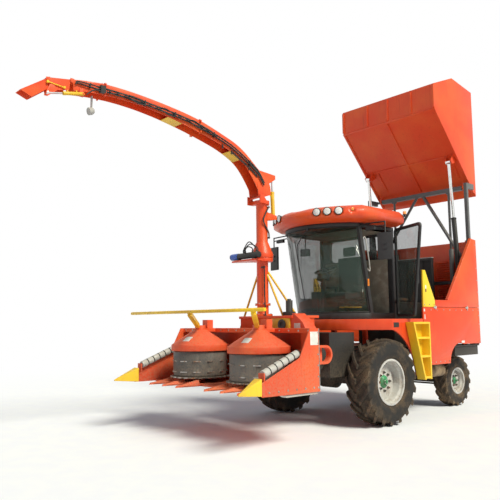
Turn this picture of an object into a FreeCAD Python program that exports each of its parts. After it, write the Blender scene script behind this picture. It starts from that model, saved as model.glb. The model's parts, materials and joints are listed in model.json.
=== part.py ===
"""Self-propelled corn harvester: chopping header, swivelling discharge chute and raised tipping tank.

The machine faces -Y, its left side is +X and +Z is up.  The origin is on the
ground under the middle of the front axle.  All sizes are in millimetres.
"""
import FreeCAD, Part
import math
import os

V = FreeCAD.Vector

# ---------------------------------------------------------------- driving dimensions
# front (drive) wheels
FRONT_R = 650.0
FRONT_TYRE_W = 420.0
FRONT_OUTER_X = 1244.0
FRONT_RIM_R = 330.0
FRONT_LUGS = 16
FRONT_LUG_H = 38.0
FRONT_DISC_IN = 175.0
# rear (steered) wheels
WHEELBASE = 2720.0
REAR_R = 455.0
REAR_TYRE_W = 260.0
REAR_OUTER_X = 780.0
REAR_RIM_R = 225.0
REAR_LUGS = 13
REAR_LUG_H = 22.0
REAR_DISC_IN = 90.0
DISC_BACK = 75.0
KINGPIN_X = 460.0
KINGPIN_R = 25.0
STEER_ARM = 160.0
PIN_GAP = 0.5
# chassis
RAIL_X0, RAIL_X1 = 300.0, 380.0
RAIL_Z0, RAIL_Z1 = 970.0, 1110.0
CHASSIS_FRONT_Y = -1040.0
CHASSIS_REAR_Y = 2690.0
HITCH_Y = 3080.0
HITCH_HOLE_R = 15.5
FLOOR_Z1 = 1130.0
# body panels
BODY_X = 1208.0
PANEL_T = 30.0
BODY_FRONT_Y = 947.0
BODY_REAR_Y = 2812.0
PANEL_LOW_Z = 842.0
ARCH_TOP_Z = 1151.0
SEAM_Z = 1787.0
SEAM_GAP = 5.0
NOTCH_Z = 1912.0
WALL_TOP_Z = 3060.0
HOOD_X = 1020.0
HOOD_Y = 3020.0
SHEET_T = 20.0
LOUVRES = 18
LOUVRE_Z0 = 1975.0
LOUVRE_PITCH = 42.0
# cab
CAB_X = 800.0
CAB_REAR_Y = 790.0
CAB_SILL_Z0, CAB_SILL_Z1 = 1600.0, 1700.0
CAB_HEAD_Z0, CAB_HEAD_Z1 = 3070.0, 3130.0
PILLAR_FOOT_Y = 100.0
PILLAR_HEAD_Y = -150.0
SCREEN_BULGE = 450.0
DOOR_OPEN_DEG = 65.0
DOOR_T = 34.0
DOOR_Z0, DOOR_Z1 = 1635.0, 3100.0
DOOR_RAIL = 45.0
DOOR_HINGES = (1850.0, 2860.0)
WINDOW_X = 570.0
WINDOW_Z0, WINDOW_Z1 = 2630.0, 3020.0
SIDE_GLASS_Z = 1980.0
ROOF_X = 1000.0
ROOF_REAR_Y = 830.0
ROOF_Z1 = 3430.0
ROOF_SIDE_Y = -250.0
ROOF_NOSE_Y = -790.0
ROOF_LAMP_Z = 3285.0
ROOF_LAMP_R = 58.0
SCOOP_R = 1000.0
MIRROR_AT = (1220.0, -50.0, 2720.0)
BEACON_AT = (1017.0, 815.0)
# lift mast and tank
HINGE_Y = 2946.0
HINGE_Z = 4100.0
LIFT_STROKE = 950.0
BEAM = 80.0
BEAM_X = 925.0
POST_X0, POST_X1 = 1078.0, 1138.0
POST_Y0, POST_Y1 = 2710.0, 2770.0
POST_FOOT_Z = 2250.0
TANK_X = 1063.0
TANK_T = 12.0
TANK_EAR_X, TANK_EAR_T = 940.0, 30.0
TANK_OUTLINE = [(1843.0, 5427.0), (1844.0, 5882.0), (2496.0, 6150.0), (3221.0, 6041.0), (3204.0, 3949.0)]
TIP_X = 930.0
TIP_EYE = (2475.0, 4530.0)
TIP_BASE = (2655.0, 2300.0)
LIFT_CYL_X = 630.0
# header
HEADER_X = 1417.0
HEADER_REAR_Y = -1843.0
HEADER_TOP_Z = 1482.0
HEADER_LOW_Z = 678.0
SIDE_TIP_Y = -2866.0
BAY_X = 1130.0
BAY_Y = -1703.0
ROLLER_LOW = (-2810.0, 935.0)
ROLLER_HIGH = (-2150.0, 1182.0)
HEADER_PIVOT = (-1180.0, 1150.0)
HEADER_CYL_X = 680.0
HEADER_CYL_BASE = (-1070.0, 910.0)
HEADER_CYL_EYE = (-1650.0, 760.0)
DRUM_X = 650.0
DRUM_Y = -2200.0
DRUM_R = 410.0
CAP_R = 430.0
CAP_OUTLINE = [(0.0, 1160.0), (CAP_R, 1160.0), (CAP_R, 1245.0), (150.0, 1425.0), (95.0, 1463.0),
               (80.0, 1463.0),
               (80.0, 1530.0), (0.0, 1530.0)]
# chute
POST_CX, POST_CY = -150.0, -1366.0
POST_R = 90.0
SLEW_Z = 2560.0
POST_TOP_Z = 3480.0
CHUTE_HINGE = (130.0, 3500.0)
CHUTE_HALF = 101.0
CHUTE_LOW = [(100.0, 3490.0), (196.0, 3650.0), (320.0, 3824.0), (440.0, 3955.0), (680.0, 4100.0),
             (1140.0, 4248.0), (1980.0, 4420.0), (2720.0, 4471.0), (3250.0, 4420.0)]
CHUTE_HIGH = [(-100.0, 3560.0), (-47.0, 3778.0), (124.0, 3911.0), (373.0, 4107.0), (615.0, 4251.0),
              (850.0, 4336.0), (1297.0, 4468.0), (1719.0, 4541.0), (2300.0, 4600.0), (2836.0, 4611.0),
              (3250.0, 4558.0)]
CHUTE_BANDS = (1300.0, 2820.0)
CHUTE_CYL_BASE = (250.0, 3220.0)
CHUTE_CYL_EYE = (226.0, 3870.0)
CHUTE_HOSE = [(60.0, 3690.0), (190.0, 3860.0), (360.0, 3975.0), (710.0, 4160.0), (1060.0, 4280.0),
              (1410.0, 4375.0), (1750.0, 4425.0), (2000.0, 4452.0), (2240.0, 4475.0), (2520.0, 4498.0),
              (2840.0, 4505.0)]
HOSE_SIDES = 6
HOSE_STEPS = 3
FLAP1 = (3280.0, 4556.0)
FLAP2 = (3560.0, 4510.0)
FLAP_TIP = (3890.0, 4280.0)
FLAP_HINGE1 = (3270.0, 4558.0)
FLAP_HINGE2 = (3574.0, 4499.0)
FLAP_CYL_X = -8.0
FLAP_CYL_BASE = (3145.0, 4388.0)
FLAP_CYL_EYE = (3590.0, 4294.0)
SLEW_MOTOR_Y = -235.0


# ---------------------------------------------------------------- helpers
def box(x0, x1, y0, y1, z0, z1):
    return Part.makeBox(x1 - x0, y1 - y0, z1 - z0, V(x0, y0, z0))


def both(x0, x1, y0, y1, z0, z1):
    """The same box on the left and on the right side."""
    return [box(x0, x1, y0, y1, z0, z1), box(-x1, -x0, y0, y1, z0, z1)]


def mirror(shape):
    return shape.mirror(V(0, 0, 0), V(1, 0, 0))


def wire(points):
    return Part.makePolygon(points + [points[0]])


def prism_x(yz, x0, x1):
    face = Part.Face(wire([V(x0, y, z) for y, z in yz]))
    return face.extrude(V(x1 - x0, 0, 0))


def prism_y(xz, y0, y1):
    face = Part.Face(wire([V(x, y0, z) for x, z in xz]))
    return face.extrude(V(0, y1 - y0, 0))


def prism_z(xy, z0, z1):
    face = Part.Face(wire([V(x, y, z0) for x, y in xy]))
    return face.extrude(V(0, 0, z1 - z0))


def rod(a, b, r):
    a = V(*a)
    b = V(*b)
    return Part.makeCylinder(r, (b - a).Length, a, b - a)


def tube(a, b, r, bore):
    return rod(a, b, r).cut(rod(a, b, bore))


def square_bar(a, b, side):
    """A square tube between two points, its flats kept level."""
    a = V(*a)
    b = V(*b)
    along = b - a
    bar = Part.makeBox(side, side, along.Length, V(-side / 2, -side / 2, 0))
    bar.Placement = FreeCAD.Placement(a, FreeCAD.Rotation(V(0, 0, 1), along))
    return bar


def rounded(shape, radius, axis):
    """The shape with every edge along the axis rounded."""
    return shape.makeFillet(radius, [e for e in shape.Edges if abs(e.tangentAt(0).dot(axis)) > 0.99])


def revolve_x(profile, centre):
    """Turn (x, r) points about the X axis line through centre."""
    cy, cz = centre
    face = Part.Face(wire([V(x, cy, cz + r) for x, r in profile]))
    return face.revolve(V(0, cy, cz), V(1, 0, 0), 360)


def revolve_z(profile, centre):
    cx, cy = centre
    face = Part.Face(wire([V(cx + r, cy, z) for r, z in profile]))
    return face.revolve(V(cx, cy, 0), V(0, 0, 1), 360)


def fuse(shapes):
    result = shapes[0].multiFuse(shapes[1:]) if len(shapes) > 1 else shapes[0]
    return result.removeSplitter()


def arc_xy(a, mid, b, z):
    return Part.Arc(V(a[0], a[1], z), V(mid[0], mid[1], z), V(b[0], b[1], z)).toShape()


def arc_yz(x, a, mid, b):
    return Part.Arc(V(x, a[0], a[1]), V(x, mid[0], mid[1]), V(x, b[0], b[1])).toShape()


def line(a, b):
    return Part.LineSegment(a, b).toShape()


def save(node, shapes):
    """Write one STEP file for a node: a single solid or solids that do not touch."""
    if not isinstance(shapes, list):
        shapes = [shapes]
    solids = [solid for shape in shapes for solid in shape.Solids]
    for solid in solids:
        if not solid.isValid() or solid.Volume <= 0:
            raise RuntimeError("bad solid in " + node)
    shape = solids[0] if len(solids) == 1 else Part.makeCompound(solids)
    shape.exportStep(os.path.join("parts", node + ".step"))
    print(node, len(solids), "solid(s)", round(sum(s.Volume for s in solids) / 1e9, 4), "m3")


# ---------------------------------------------------------------- wheels
def on_wheel(x, angle, r):
    """A point on a wheel whose axis is the X axis."""
    return V(x, r * math.sin(angle), r * math.cos(angle))


def polyhedron(faces):
    """A solid from lists of corner points, one list for each flat face."""
    return Part.makeSolid(Part.makeShell([Part.Face(wire(face)) for face in faces]))


def ring(profile, sides):
    """A ring with flat sides about the X axis, from a closed outline of (x, r) points."""
    faces = []
    for k in range(sides):
        a0 = 2 * math.pi * k / sides
        a1 = 2 * math.pi * (k + 1) / sides
        for (x0, r0), (x1, r1) in zip(profile, profile[1:] + profile[:1]):
            faces.append([on_wheel(x0, a0, r0), on_wheel(x1, a0, r1), on_wheel(x1, a1, r1),
                          on_wheel(x0, a1, r0)])
    return polyhedron(faces)


def lug(radius, height, stations, start):
    """One chevron lug of a tread, through (x, sweep angle, thickness angle, drop) stations."""
    root = radius - 3.6 * height
    loops = []
    for x, sweep, thick, drop in stations:
        a0, a1 = start + sweep, start + sweep + thick
        loops.append([on_wheel(x, a0, root - drop), on_wheel(x, a1, root - drop),
                      on_wheel(x, a1, radius - drop),
                      on_wheel(x, a0, radius - drop)])
    faces = [loops[0], loops[-1]]
    for near, far in zip(loops, loops[1:]):
        for i in range(4):
            j = (i + 1) % 4
            faces += [[near[i], near[j], far[j]], [near[i], far[j], far[i]]]
    return polyhedron(faces)


def tyre(radius, width, rim_r, lugs, lug_h, centre_x, centre):
    """An agricultural tyre: rounded carcass and two staggered rows of chevron lugs."""
    half = width / 2
    tread = radius - lug_h
    wall = tread - rim_r
    sides = 2 * lugs
    bore = rim_r / math.cos(math.pi / sides)
    right = [(half * 0.80, bore), (half * 0.80, rim_r + 20), (half, rim_r + 0.60 * wall),
             (half * 0.86, tread)]
    profile = right + [(-x, r) for x, r in reversed(right)]
    step = 2 * math.pi / lugs
    thick = 0.40 * step
    stations = [(6.0, 0.0, thick * 0.9, 0.0), (half * 0.97, 1.0 * step, thick * 1.1, 0.30 * lug_h)]
    pieces = [ring(profile, sides)]
    for i in range(lugs):
        pieces.append(lug(radius, lug_h, stations, i * step))
        pieces.append(lug(radius, lug_h, [(-x, a, t, d) for x, a, t, d in stations], (i + 0.5) * step))
    whole = pieces[0].multiFuse(pieces[1:])
    whole.translate(V(centre_x, centre[0], centre[1]))
    return whole


def hex_nut(x0, x1, y, z, across):
    """A wheel nut on the X axis direction."""
    corners = [(y + across * math.cos(a), z + across * math.sin(a))
               for a in (k * math.pi / 3 for k in range(6))]
    return prism_x(corners, x0, x1)


def rim(side, outer_x, width, rim_r, hub_r, disc_in, studs, pcd, centre):
    """A pressed wheel: flanged barrel, dished disc set in by disc_in, hub and studs."""
    x_out = outer_x - 0.10 * width + 12
    x_in = outer_x - 0.90 * width - 12
    disc = outer_x - disc_in
    barrel = revolve_x([(x_in, rim_r - 14), (x_in, rim_r + 16), (x_in + 12, rim_r + 16), (x_in + 12, rim_r),
                        (x_out - 12, rim_r), (x_out - 12, rim_r + 16), (x_out, rim_r + 16),
                        (x_out, rim_r - 14),
                        (x_out - 30, rim_r - 14), (x_out - 60, rim_r - 40), (x_in + 60, rim_r - 40),
                        (x_in + 30, rim_r - 14)], centre)
    dish = revolve_x([(disc - 70, 0), (disc + 34, 0), (disc + 34, hub_r * 0.55), (disc + 10, hub_r),
                      (disc, hub_r),
                      (disc, rim_r * 0.62), (disc - 34, rim_r - 39), (disc - 48, rim_r - 39),
                      (disc - 16, rim_r * 0.56), (disc - 16, hub_r), (disc - 70, hub_r)], centre)
    pieces = [barrel, dish]
    for i in range(studs):
        a = 2 * math.pi * i / studs
        pieces.append(hex_nut(disc - 5, disc + 24, centre[0] + pcd / 2 * math.cos(a),
                              centre[1] + pcd / 2 * math.sin(a), 17))
    whole = fuse(pieces)
    return whole if side > 0 else mirror(whole)


def wheels():
    front_c = (0.0, FRONT_R)
    rear_c = (WHEELBASE, REAR_R)
    front = tyre(FRONT_R, FRONT_TYRE_W, FRONT_RIM_R, FRONT_LUGS, FRONT_LUG_H,
                 FRONT_OUTER_X - FRONT_TYRE_W / 2, front_c)
    rear = tyre(REAR_R, REAR_TYRE_W, REAR_RIM_R, REAR_LUGS, REAR_LUG_H,
                REAR_OUTER_X - REAR_TYRE_W / 2, rear_c)
    save("tyre_front_left", front)
    save("tyre_front_right", mirror(front))
    save("tyre_rear_left", rear)
    save("tyre_rear_right", mirror(rear))
    for side, name in ((1, "left"), (-1, "right")):
        save("rim_front_" + name, rim(side, FRONT_OUTER_X, FRONT_TYRE_W, FRONT_RIM_R, 92, FRONT_DISC_IN,
                                      8, 275, front_c))
        save("rim_rear_" + name, rim(side, REAR_OUTER_X, REAR_TYRE_W, REAR_RIM_R, 62, REAR_DISC_IN,
                                     6, 190, rear_c))


# ---------------------------------------------------------------- chassis and axles
def chassis():
    pieces = both(RAIL_X0, RAIL_X1, CHASSIS_FRONT_Y, CHASSIS_REAR_Y, RAIL_Z0, RAIL_Z1)
    for y in (-460.0, 560.0, 1480.0, CHASSIS_REAR_Y - 80):
        pieces.append(box(-RAIL_X1, RAIL_X1, y, y + 80, RAIL_Z0 + 15, RAIL_Z1 - 15))
    pieces.append(box(-780, 780, CHASSIS_FRONT_Y, CHASSIS_FRONT_Y + 100, RAIL_Z0, RAIL_Z1))
    py, pz = HEADER_PIVOT
    ear = prism_x([(CHASSIS_FRONT_Y + 100, RAIL_Z0), (CHASSIS_FRONT_Y + 100, pz + 60), (py - 60, pz + 60),
                   (py - 60, pz - 60), (py + 40, RAIL_Z0)], 720, 780)
    pin = rod((645, py, pz), (722, py, pz), KINGPIN_R)
    pieces += [ear, mirror(ear), pin, mirror(pin)]
    pieces.append(box(-BODY_X + PANEL_T, BODY_X - PANEL_T, BODY_FRONT_Y, BODY_REAR_Y - 12, RAIL_Z1,
                      FLOOR_Z1))
    pieces.append(box(-800, 800, -930, -350, 750, 1400))
    clevis = header_clevis()
    pieces += [clevis, mirror(clevis), tow_hitch()]
    save("chassis_frame", fuse(pieces))


def tow_hitch():
    """Two plates with one vertical pin hole behind the last cross member."""
    y = CHASSIS_REAR_Y
    arm = box(-60, 60, y - 10, y + 60, RAIL_Z0 + 20, RAIL_Z1 - 20)
    plates = [box(-50, 50, y + 40, HITCH_Y + 45, z, z + 20) for z in (RAIL_Z0 + 20, RAIL_Z1 - 40)]
    hole = rod((0, HITCH_Y, RAIL_Z0), (0, HITCH_Y, RAIL_Z1), HITCH_HOLE_R)
    return fuse([arm] + plates).cut(hole)


def header_clevis():
    """Ears under the front cross beam that hold the base of a header lift cylinder."""
    by, bz = HEADER_CYL_BASE
    ears = []
    for x0 in (HEADER_CYL_X - 58, HEADER_CYL_X + 42):
        ears.append(prism_x([(by - 32, bz - 32), (by + 32, bz - 32), (CHASSIS_FRONT_Y + 90, RAIL_Z0),
                             (CHASSIS_FRONT_Y, RAIL_Z0), (by - 32, bz + 32)], x0, x0 + 16))
    pin = rod((HEADER_CYL_X - 58, by, bz), (HEADER_CYL_X + 58, by, bz), 18)
    return fuse(ears + [pin])


def front_axle():
    c = (0.0, FRONT_R)
    disc_back = FRONT_OUTER_X - FRONT_DISC_IN - DISC_BACK
    housing = revolve_x([(-disc_back, 0), (-disc_back, 85), (-760, 85), (-740, 140), (-620, 140),
                         (-600, 85),
                         (-200, 80), (-140, 160), (140, 160), (200, 80), (600, 85), (620, 140), (740, 140),
                         (760, 85), (disc_back, 85), (disc_back, 0)], c)
    brackets = both(RAIL_X0, RAIL_X1, -110, 110, FRONT_R + 40, RAIL_Z0)
    return fuse([housing] + brackets)


def rear_axle():
    cy, cz = WHEELBASE, REAR_R
    beam = box(-400, 400, cy - 45, cy + 45, cz - 55, cz + 55)
    pieces = [beam]
    for s in (1, -1):
        web = box(380, 410, cy - 55, cy + 24, cz - 115, cz + 115)
        top = box(380, 505, cy - 55, cy + 55, cz + 85, cz + 115)
        low = box(380, 505, cy - 55, cy + 55, cz - 115, cz - 85)
        hole = rod((KINGPIN_X, cy, cz - 130), (KINGPIN_X, cy, cz + 130), KINGPIN_R + PIN_GAP)
        end = fuse([web, top, low]).cut(hole)
        pieces.append(end if s > 0 else mirror(end))
    trunnion = prism_y([(-150, RAIL_Z0), (-60, cz + 40), (60, cz + 40), (150, RAIL_Z0)], cy - 110, cy - 30)
    saddle = box(-RAIL_X1, RAIL_X1, cy - 110, cy - 30, RAIL_Z0 - 30, RAIL_Z0)
    pieces += [trunnion, saddle]
    return fuse(pieces)


def knuckle(side):
    cy, cz = WHEELBASE, REAR_R
    disc_back = REAR_OUTER_X - REAR_DISC_IN - DISC_BACK
    barrel = rod((KINGPIN_X, cy, cz - 80), (KINGPIN_X, cy, cz + 80), 45)
    pin = rod((KINGPIN_X, cy, cz - 122), (KINGPIN_X, cy, cz + 122), KINGPIN_R)
    spindle = rod((KINGPIN_X, cy, cz), (disc_back, cy, cz), 40)
    arm = box(KINGPIN_X - 25, KINGPIN_X + 25, cy, cy + STEER_ARM, cz - 75, cz - 50)
    eye = rod((KINGPIN_X, cy + STEER_ARM, cz - 75), (KINGPIN_X, cy + STEER_ARM, cz - 50), 30)
    whole = fuse([barrel, pin, spindle, arm, eye])
    return whole if side > 0 else mirror(whole)


def steering():
    save("knuckle_left", knuckle(1))
    save("knuckle_right", knuckle(-1))
    y = WHEELBASE + STEER_ARM
    z = REAR_R - 100
    bar = rod((-KINGPIN_X, y, z), (KINGPIN_X, y, z), 16)
    ends = [rod((s * KINGPIN_X, y, z - 20), (s * KINGPIN_X, y, z + 20), 28) for s in (1, -1)]
    save("tie_rod", fuse([bar] + ends))


# ---------------------------------------------------------------- body
def side_panel():
    x0, x1 = BODY_X - PANEL_T, BODY_X
    arch = Part.Arc(V(x0, 1738, PANEL_LOW_Z), V(x0, 1850, 1085), V(x0, 2202, ARCH_TOP_Z)).toShape()
    edges = [line(V(x0, BODY_FRONT_Y, PANEL_LOW_Z), V(x0, 1738, PANEL_LOW_Z)), arch,
             line(V(x0, 2202, ARCH_TOP_Z), V(x0, BODY_REAR_Y, ARCH_TOP_Z)),
             line(V(x0, BODY_REAR_Y, ARCH_TOP_Z), V(x0, BODY_REAR_Y, SEAM_Z)),
             line(V(x0, BODY_REAR_Y, SEAM_Z), V(x0, BODY_FRONT_Y, SEAM_Z)),
             line(V(x0, BODY_FRONT_Y, SEAM_Z), V(x0, BODY_FRONT_Y, PANEL_LOW_Z))]
    lower = Part.Face(Part.Wire(edges)).extrude(V(x1 - x0, 0, 0))
    z = SEAM_Z + SEAM_GAP
    upper = prism_x([(1330, z), (BODY_REAR_Y, z), (BODY_REAR_Y, WALL_TOP_Z - 15), (2650, WALL_TOP_Z),
                     (1737, NOTCH_Z), (1330, NOTCH_Z)], x0, x1)
    gusset = prism_x([(964, z), (1322, z), (1322, 1900), (1056, 2400), (980, 2400)], x0, x1)
    return lower, upper, gusset


def body():
    lower, upper, gusset = side_panel()
    save("side_panels", [lower, mirror(lower), upper, mirror(upper)])
    save("yellow_gussets", [gusset, mirror(gusset)])
    inner = BODY_X - PANEL_T
    plan = [(-inner, BODY_REAR_Y - 12), (-HOOD_X + SHEET_T, BODY_REAR_Y - 12),
            (-HOOD_X + SHEET_T, HOOD_Y - SHEET_T),
            (HOOD_X - SHEET_T, HOOD_Y - SHEET_T), (HOOD_X - SHEET_T, BODY_REAR_Y - 12),
            (inner, BODY_REAR_Y - 12),
            (inner, BODY_REAR_Y), (HOOD_X, BODY_REAR_Y), (HOOD_X, HOOD_Y), (-HOOD_X, HOOD_Y),
            (-HOOD_X, BODY_REAR_Y), (-inner, BODY_REAR_Y)]
    wall = prism_z(plan, FLOOR_Z1, WALL_TOP_Z)
    blades = []
    for i in range(LOUVRES):
        z = LOUVRE_Z0 + i * LOUVRE_PITCH
        for x0, x1 in ((270, 560), (-560, -270)):
            blades.append(prism_x([(HOOD_Y - SHEET_T - 22, z), (HOOD_Y - SHEET_T + 2, z + 18),
                                   (HOOD_Y - SHEET_T + 2, z + 24), (HOOD_Y - SHEET_T - 22, z + 8)], x0, x1))
    save("rear_wall", fuse([wall] + blades))
    screen = box(-450, 500, 2440, 2500, FLOOR_Z1, 2755)
    for i in range(5):
        x0 = -410 + i * 178
        screen = screen.cut(box(x0, x0 + 160, 2430, 2455, FLOOR_Z1 + 60, 2700))
    save("radiator_screen", screen)
    save("engine_block", box(-400, 400, 1300, 2250, FLOOR_Z1, 1900))
    guards = both(560, BODY_X - PANEL_T - 20, 1970, 2780, 950, RAIL_Z1)
    save("rear_mudguards", guards)
    fuel = rod((800, 1480, 700), (800, 2060, 700), 115)
    saddle = [box(740, 860, y, y + 50, 790, RAIL_Z1) for y in (1560, 1900)]
    save("fuel_tank", fuse([fuel] + saddle))


def platform():
    """Cab platform with its curved apron, and the wheel-arch side panels."""
    front_y = PILLAR_FOOT_Y
    nose = front_y - 600
    z0, z1 = 1430.0, CAB_SILL_Z0

    def plan(inset, z):
        x = BODY_X - inset
        arc = arc_xy((x, front_y), (0, nose + inset), (-x, front_y), z)
        rear = BODY_FRONT_Y - 12
        return Part.Wire([arc, line(V(-x, front_y, z), V(-x, rear, z)), line(V(-x, rear, z), V(x, rear, z)),
                          line(V(x, rear, z), V(x, front_y, z))])

    deck = Part.Face(plan(0, z1 - 25)).extrude(V(0, 0, 25))
    skirt = Part.Face(plan(0, z0)).extrude(V(0, 0, z1 - 25 - z0))
    skirt = skirt.cut(Part.Face(plan(PANEL_T, z0)).extrude(V(0, 0, z1 - 25 - z0)))
    skirt = skirt.cut(box(-BODY_X - 1, BODY_X + 1, front_y + 8, BODY_FRONT_Y + 1, z0 - 1, z1))
    legs = both(RAIL_X0, RAIL_X1, 500, 560, RAIL_Z1, z1 - 25) + both(RAIL_X0, RAIL_X1, -300, -240,
                                                                     RAIL_Z1, z1 - 25)
    x0 = BODY_X - PANEL_T
    arch = Part.Arc(V(x0, front_y + 8, z0), V(x0, 500, 1165), V(x0, 700, 700)).toShape()
    edges = [arch, line(V(x0, 700, 700), V(x0, 935, 700)), line(V(x0, 935, 700), V(x0, 935, z1 - 25)),
             line(V(x0, 935, z1 - 25), V(x0, front_y + 8, z1 - 25)),
             line(V(x0, front_y + 8, z1 - 25), V(x0, front_y + 8, z0))]
    fender = Part.Face(Part.Wire(edges)).extrude(V(PANEL_T, 0, 0))
    save("platform", fuse([deck, skirt, fender, mirror(fender)] + legs))


def ladder():
    x0, x1 = BODY_X + 4, BODY_X + 150
    rear = prism_x([(865, 645), (895, 645), (895, 1545), (865, 1545)], x0, x1)
    front = prism_x([(700, 645), (735, 645), (460, 1545), (425, 1545)], x0, x1)
    treads = []
    for z in (660.0, 990.0, 1280.0, 1515.0):
        y_front = 700 + (z - 645) / 900 * (425 - 700) + 10
        treads.append(box(x0, x1, y_front, 880, z, z + 30))
    back = prism_x([(720, 660), (880, 660), (880, 1530), (455, 1530)], x0, x0 + 6)
    save("ladder", fuse([rear, front, back] + treads))


# ---------------------------------------------------------------- cab
def screen_wire(z, half, y_end, y_nose, thick):
    outer = arc_xy((half, y_end), (0, y_nose), (-half, y_end), z)
    inner = arc_xy((-half + thick, y_end), (0, y_nose + thick), (half - thick, y_end), z)
    return Part.Wire([outer, line(V(-half, y_end, z), V(-half + thick, y_end, z)), inner,
                      line(V(half - thick, y_end, z), V(half, y_end, z))])


def cab():
    foot, head = PILLAR_FOOT_Y, PILLAR_HEAD_Y
    half = CAB_X - 30
    low = CAB_SILL_Z1
    high = CAB_HEAD_Z0
    t = 50.0

    def cab_ring(z0, z1, y_end, y_nose, floor_t=0):
        outer = Part.Wire([arc_xy((CAB_X, y_end), (0, y_nose), (-CAB_X, y_end), z0),
                           line(V(-CAB_X, y_end, z0), V(-CAB_X, CAB_REAR_Y, z0)),
                           line(V(-CAB_X, CAB_REAR_Y, z0), V(CAB_X, CAB_REAR_Y, z0)),
                           line(V(CAB_X, CAB_REAR_Y, z0), V(CAB_X, y_end, z0))])
        x = CAB_X - t
        inner = Part.Wire([arc_xy((x, y_end), (0, y_nose + t), (-x, y_end), z0),
                           line(V(-x, y_end, z0), V(-x, CAB_REAR_Y - t, z0)),
                           line(V(-x, CAB_REAR_Y - t, z0), V(x, CAB_REAR_Y - t, z0)),
                           line(V(x, CAB_REAR_Y - t, z0), V(x, y_end, z0))])
        solid = Part.Face(outer).extrude(V(0, 0, z1 - z0))
        hollow = Part.Face(inner).extrude(V(0, 0, z1 - z0 - floor_t))
        hollow.translate(V(0, 0, floor_t))
        return solid.cut(hollow)

    sill = cab_ring(CAB_SILL_Z0, low, foot, foot - SCREEN_BULGE, 30)
    header = cab_ring(high, CAB_HEAD_Z1, head, head - SCREEN_BULGE)
    lean = (head - foot) / (high - low)
    pillar = [(foot - 20 * lean, low - 20), (foot + 70 - 20 * lean, low - 20),
              (head + 70 + 20 * lean, high + 20),
              (head + 20 * lean, high + 20)]
    front_pillar = prism_x(pillar, CAB_X - t, CAB_X)
    rear_pillar = box(CAB_X - t, CAB_X, CAB_REAR_Y - 60, CAB_REAR_Y, low, high)
    rear = box(-CAB_X, CAB_X, CAB_REAR_Y - 40, CAB_REAR_Y, low, high)
    window = box(-WINDOW_X, WINDOW_X, CAB_REAR_Y - 60, CAB_REAR_Y + 10, WINDOW_Z0, WINDOW_Z1)
    window = rounded(window, 90, V(0, 1, 0))
    rear = rear.cut(window)
    right_low = prism_x([(foot + 50, low), (CAB_REAR_Y - 20, low), (CAB_REAR_Y - 20, SIDE_GLASS_Z),
                         (foot + 6, SIDE_GLASS_Z)], -CAB_X, -CAB_X + 40)
    save("cab_frame", fuse([sill, header, front_pillar, mirror(front_pillar), rear_pillar,
                            mirror(rear_pillar),
                            rear, right_low]))
    glass = Part.makeLoft([screen_wire(low, half, foot, foot - SCREEN_BULGE + 20, 10),
                           screen_wire(high, half, head, head - SCREEN_BULGE + 20, 10)], True, True)
    back = window.common(box(-CAB_X, CAB_X, CAB_REAR_Y - 26, CAB_REAR_Y - 16, low, high))
    y_mid = foot + lean * (SIDE_GLASS_Z - low)
    side = prism_x([(y_mid + 70, SIDE_GLASS_Z), (CAB_REAR_Y - 60, SIDE_GLASS_Z), (CAB_REAR_Y - 60, high),
                     (head + 70, high)], -CAB_X + 16, -CAB_X + 26)
    save("cab_glass", [glass, back, side])
    roof()
    mirrors()
    door(foot, head, low, high)
    cab_interior()


def roof_edge(x):
    """The y of the roof's bowed front edge at a given x."""
    rise = ROOF_SIDE_Y - ROOF_NOSE_Y
    radius = (ROOF_X ** 2 + rise ** 2) / (2 * rise)
    return ROOF_NOSE_Y + radius - math.sqrt(radius ** 2 - x ** 2), ROOF_NOSE_Y + radius, radius


def roof_lamp(x, z, r, depth):
    """A pocket and a round lamp that look outwards through the roof's bowed front edge."""
    y, centre_y, radius = roof_edge(x)
    out = V(x, y - centre_y, 0) * (1 / radius)
    face = V(x, y, z)
    tip, bottom = face + out * 12, face - out * depth
    pocket = rod(tuple(face + out * 30), tuple(bottom), r + 7)
    return pocket, rod(tuple(tip - out * 14), tuple(bottom), r)


def roof():
    def outline(z, inset, front_y):
        x = ROOF_X - inset
        yf = ROOF_SIDE_Y + inset
        yr = ROOF_REAR_Y - inset
        return Part.Wire([arc_xy((x, yf), (0, front_y + inset), (-x, yf), z),
                          line(V(-x, yf, z), V(-x, yr, z)), line(V(-x, yr, z), V(x, yr, z)),
                          line(V(x, yr, z), V(x, yf, z))])

    slabs = [outline(CAB_HEAD_Z1, 90, ROOF_NOSE_Y + 30), outline(3190, 10, ROOF_NOSE_Y - 10),
             outline(3300, 0, ROOF_NOSE_Y), outline(3380, 60, ROOF_NOSE_Y + 90),
             outline(ROOF_Z1, 220, -560)]
    shell = Part.makeLoft(slabs, True, True)
    shell = shell.cut(rod((0, -1000, ROOF_Z1 + SCOOP_R - 95), (0, 500, ROOF_Z1 + SCOOP_R + 10), SCOOP_R))
    lamps, markers = [], []
    for x in (-725, -575, -420, 420, 575, 725):
        pocket, lamp = roof_lamp(x, ROOF_LAMP_Z, ROOF_LAMP_R, 40)
        shell = shell.cut(pocket)
        lamps.append(lamp)
    for x in (-885, 885):
        pocket, lamp = roof_lamp(x, ROOF_LAMP_Z + 20, 28, 22)
        shell = shell.cut(pocket)
        markers.append(lamp)
    bx, by = BEACON_AT
    beacon = rod((bx, by, 3320), (bx, by, 3395), 30)
    stem = rod((bx, by, 3306), (bx, by, 3320), 14)
    markers.append(fuse([beacon, stem, box(ROOF_X, bx + 18, by - 22, by + 22, 3294, 3306)]))
    save("cab_roof", shell)
    save("roof_lamps", lamps)
    save("marker_lamps", markers)


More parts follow.
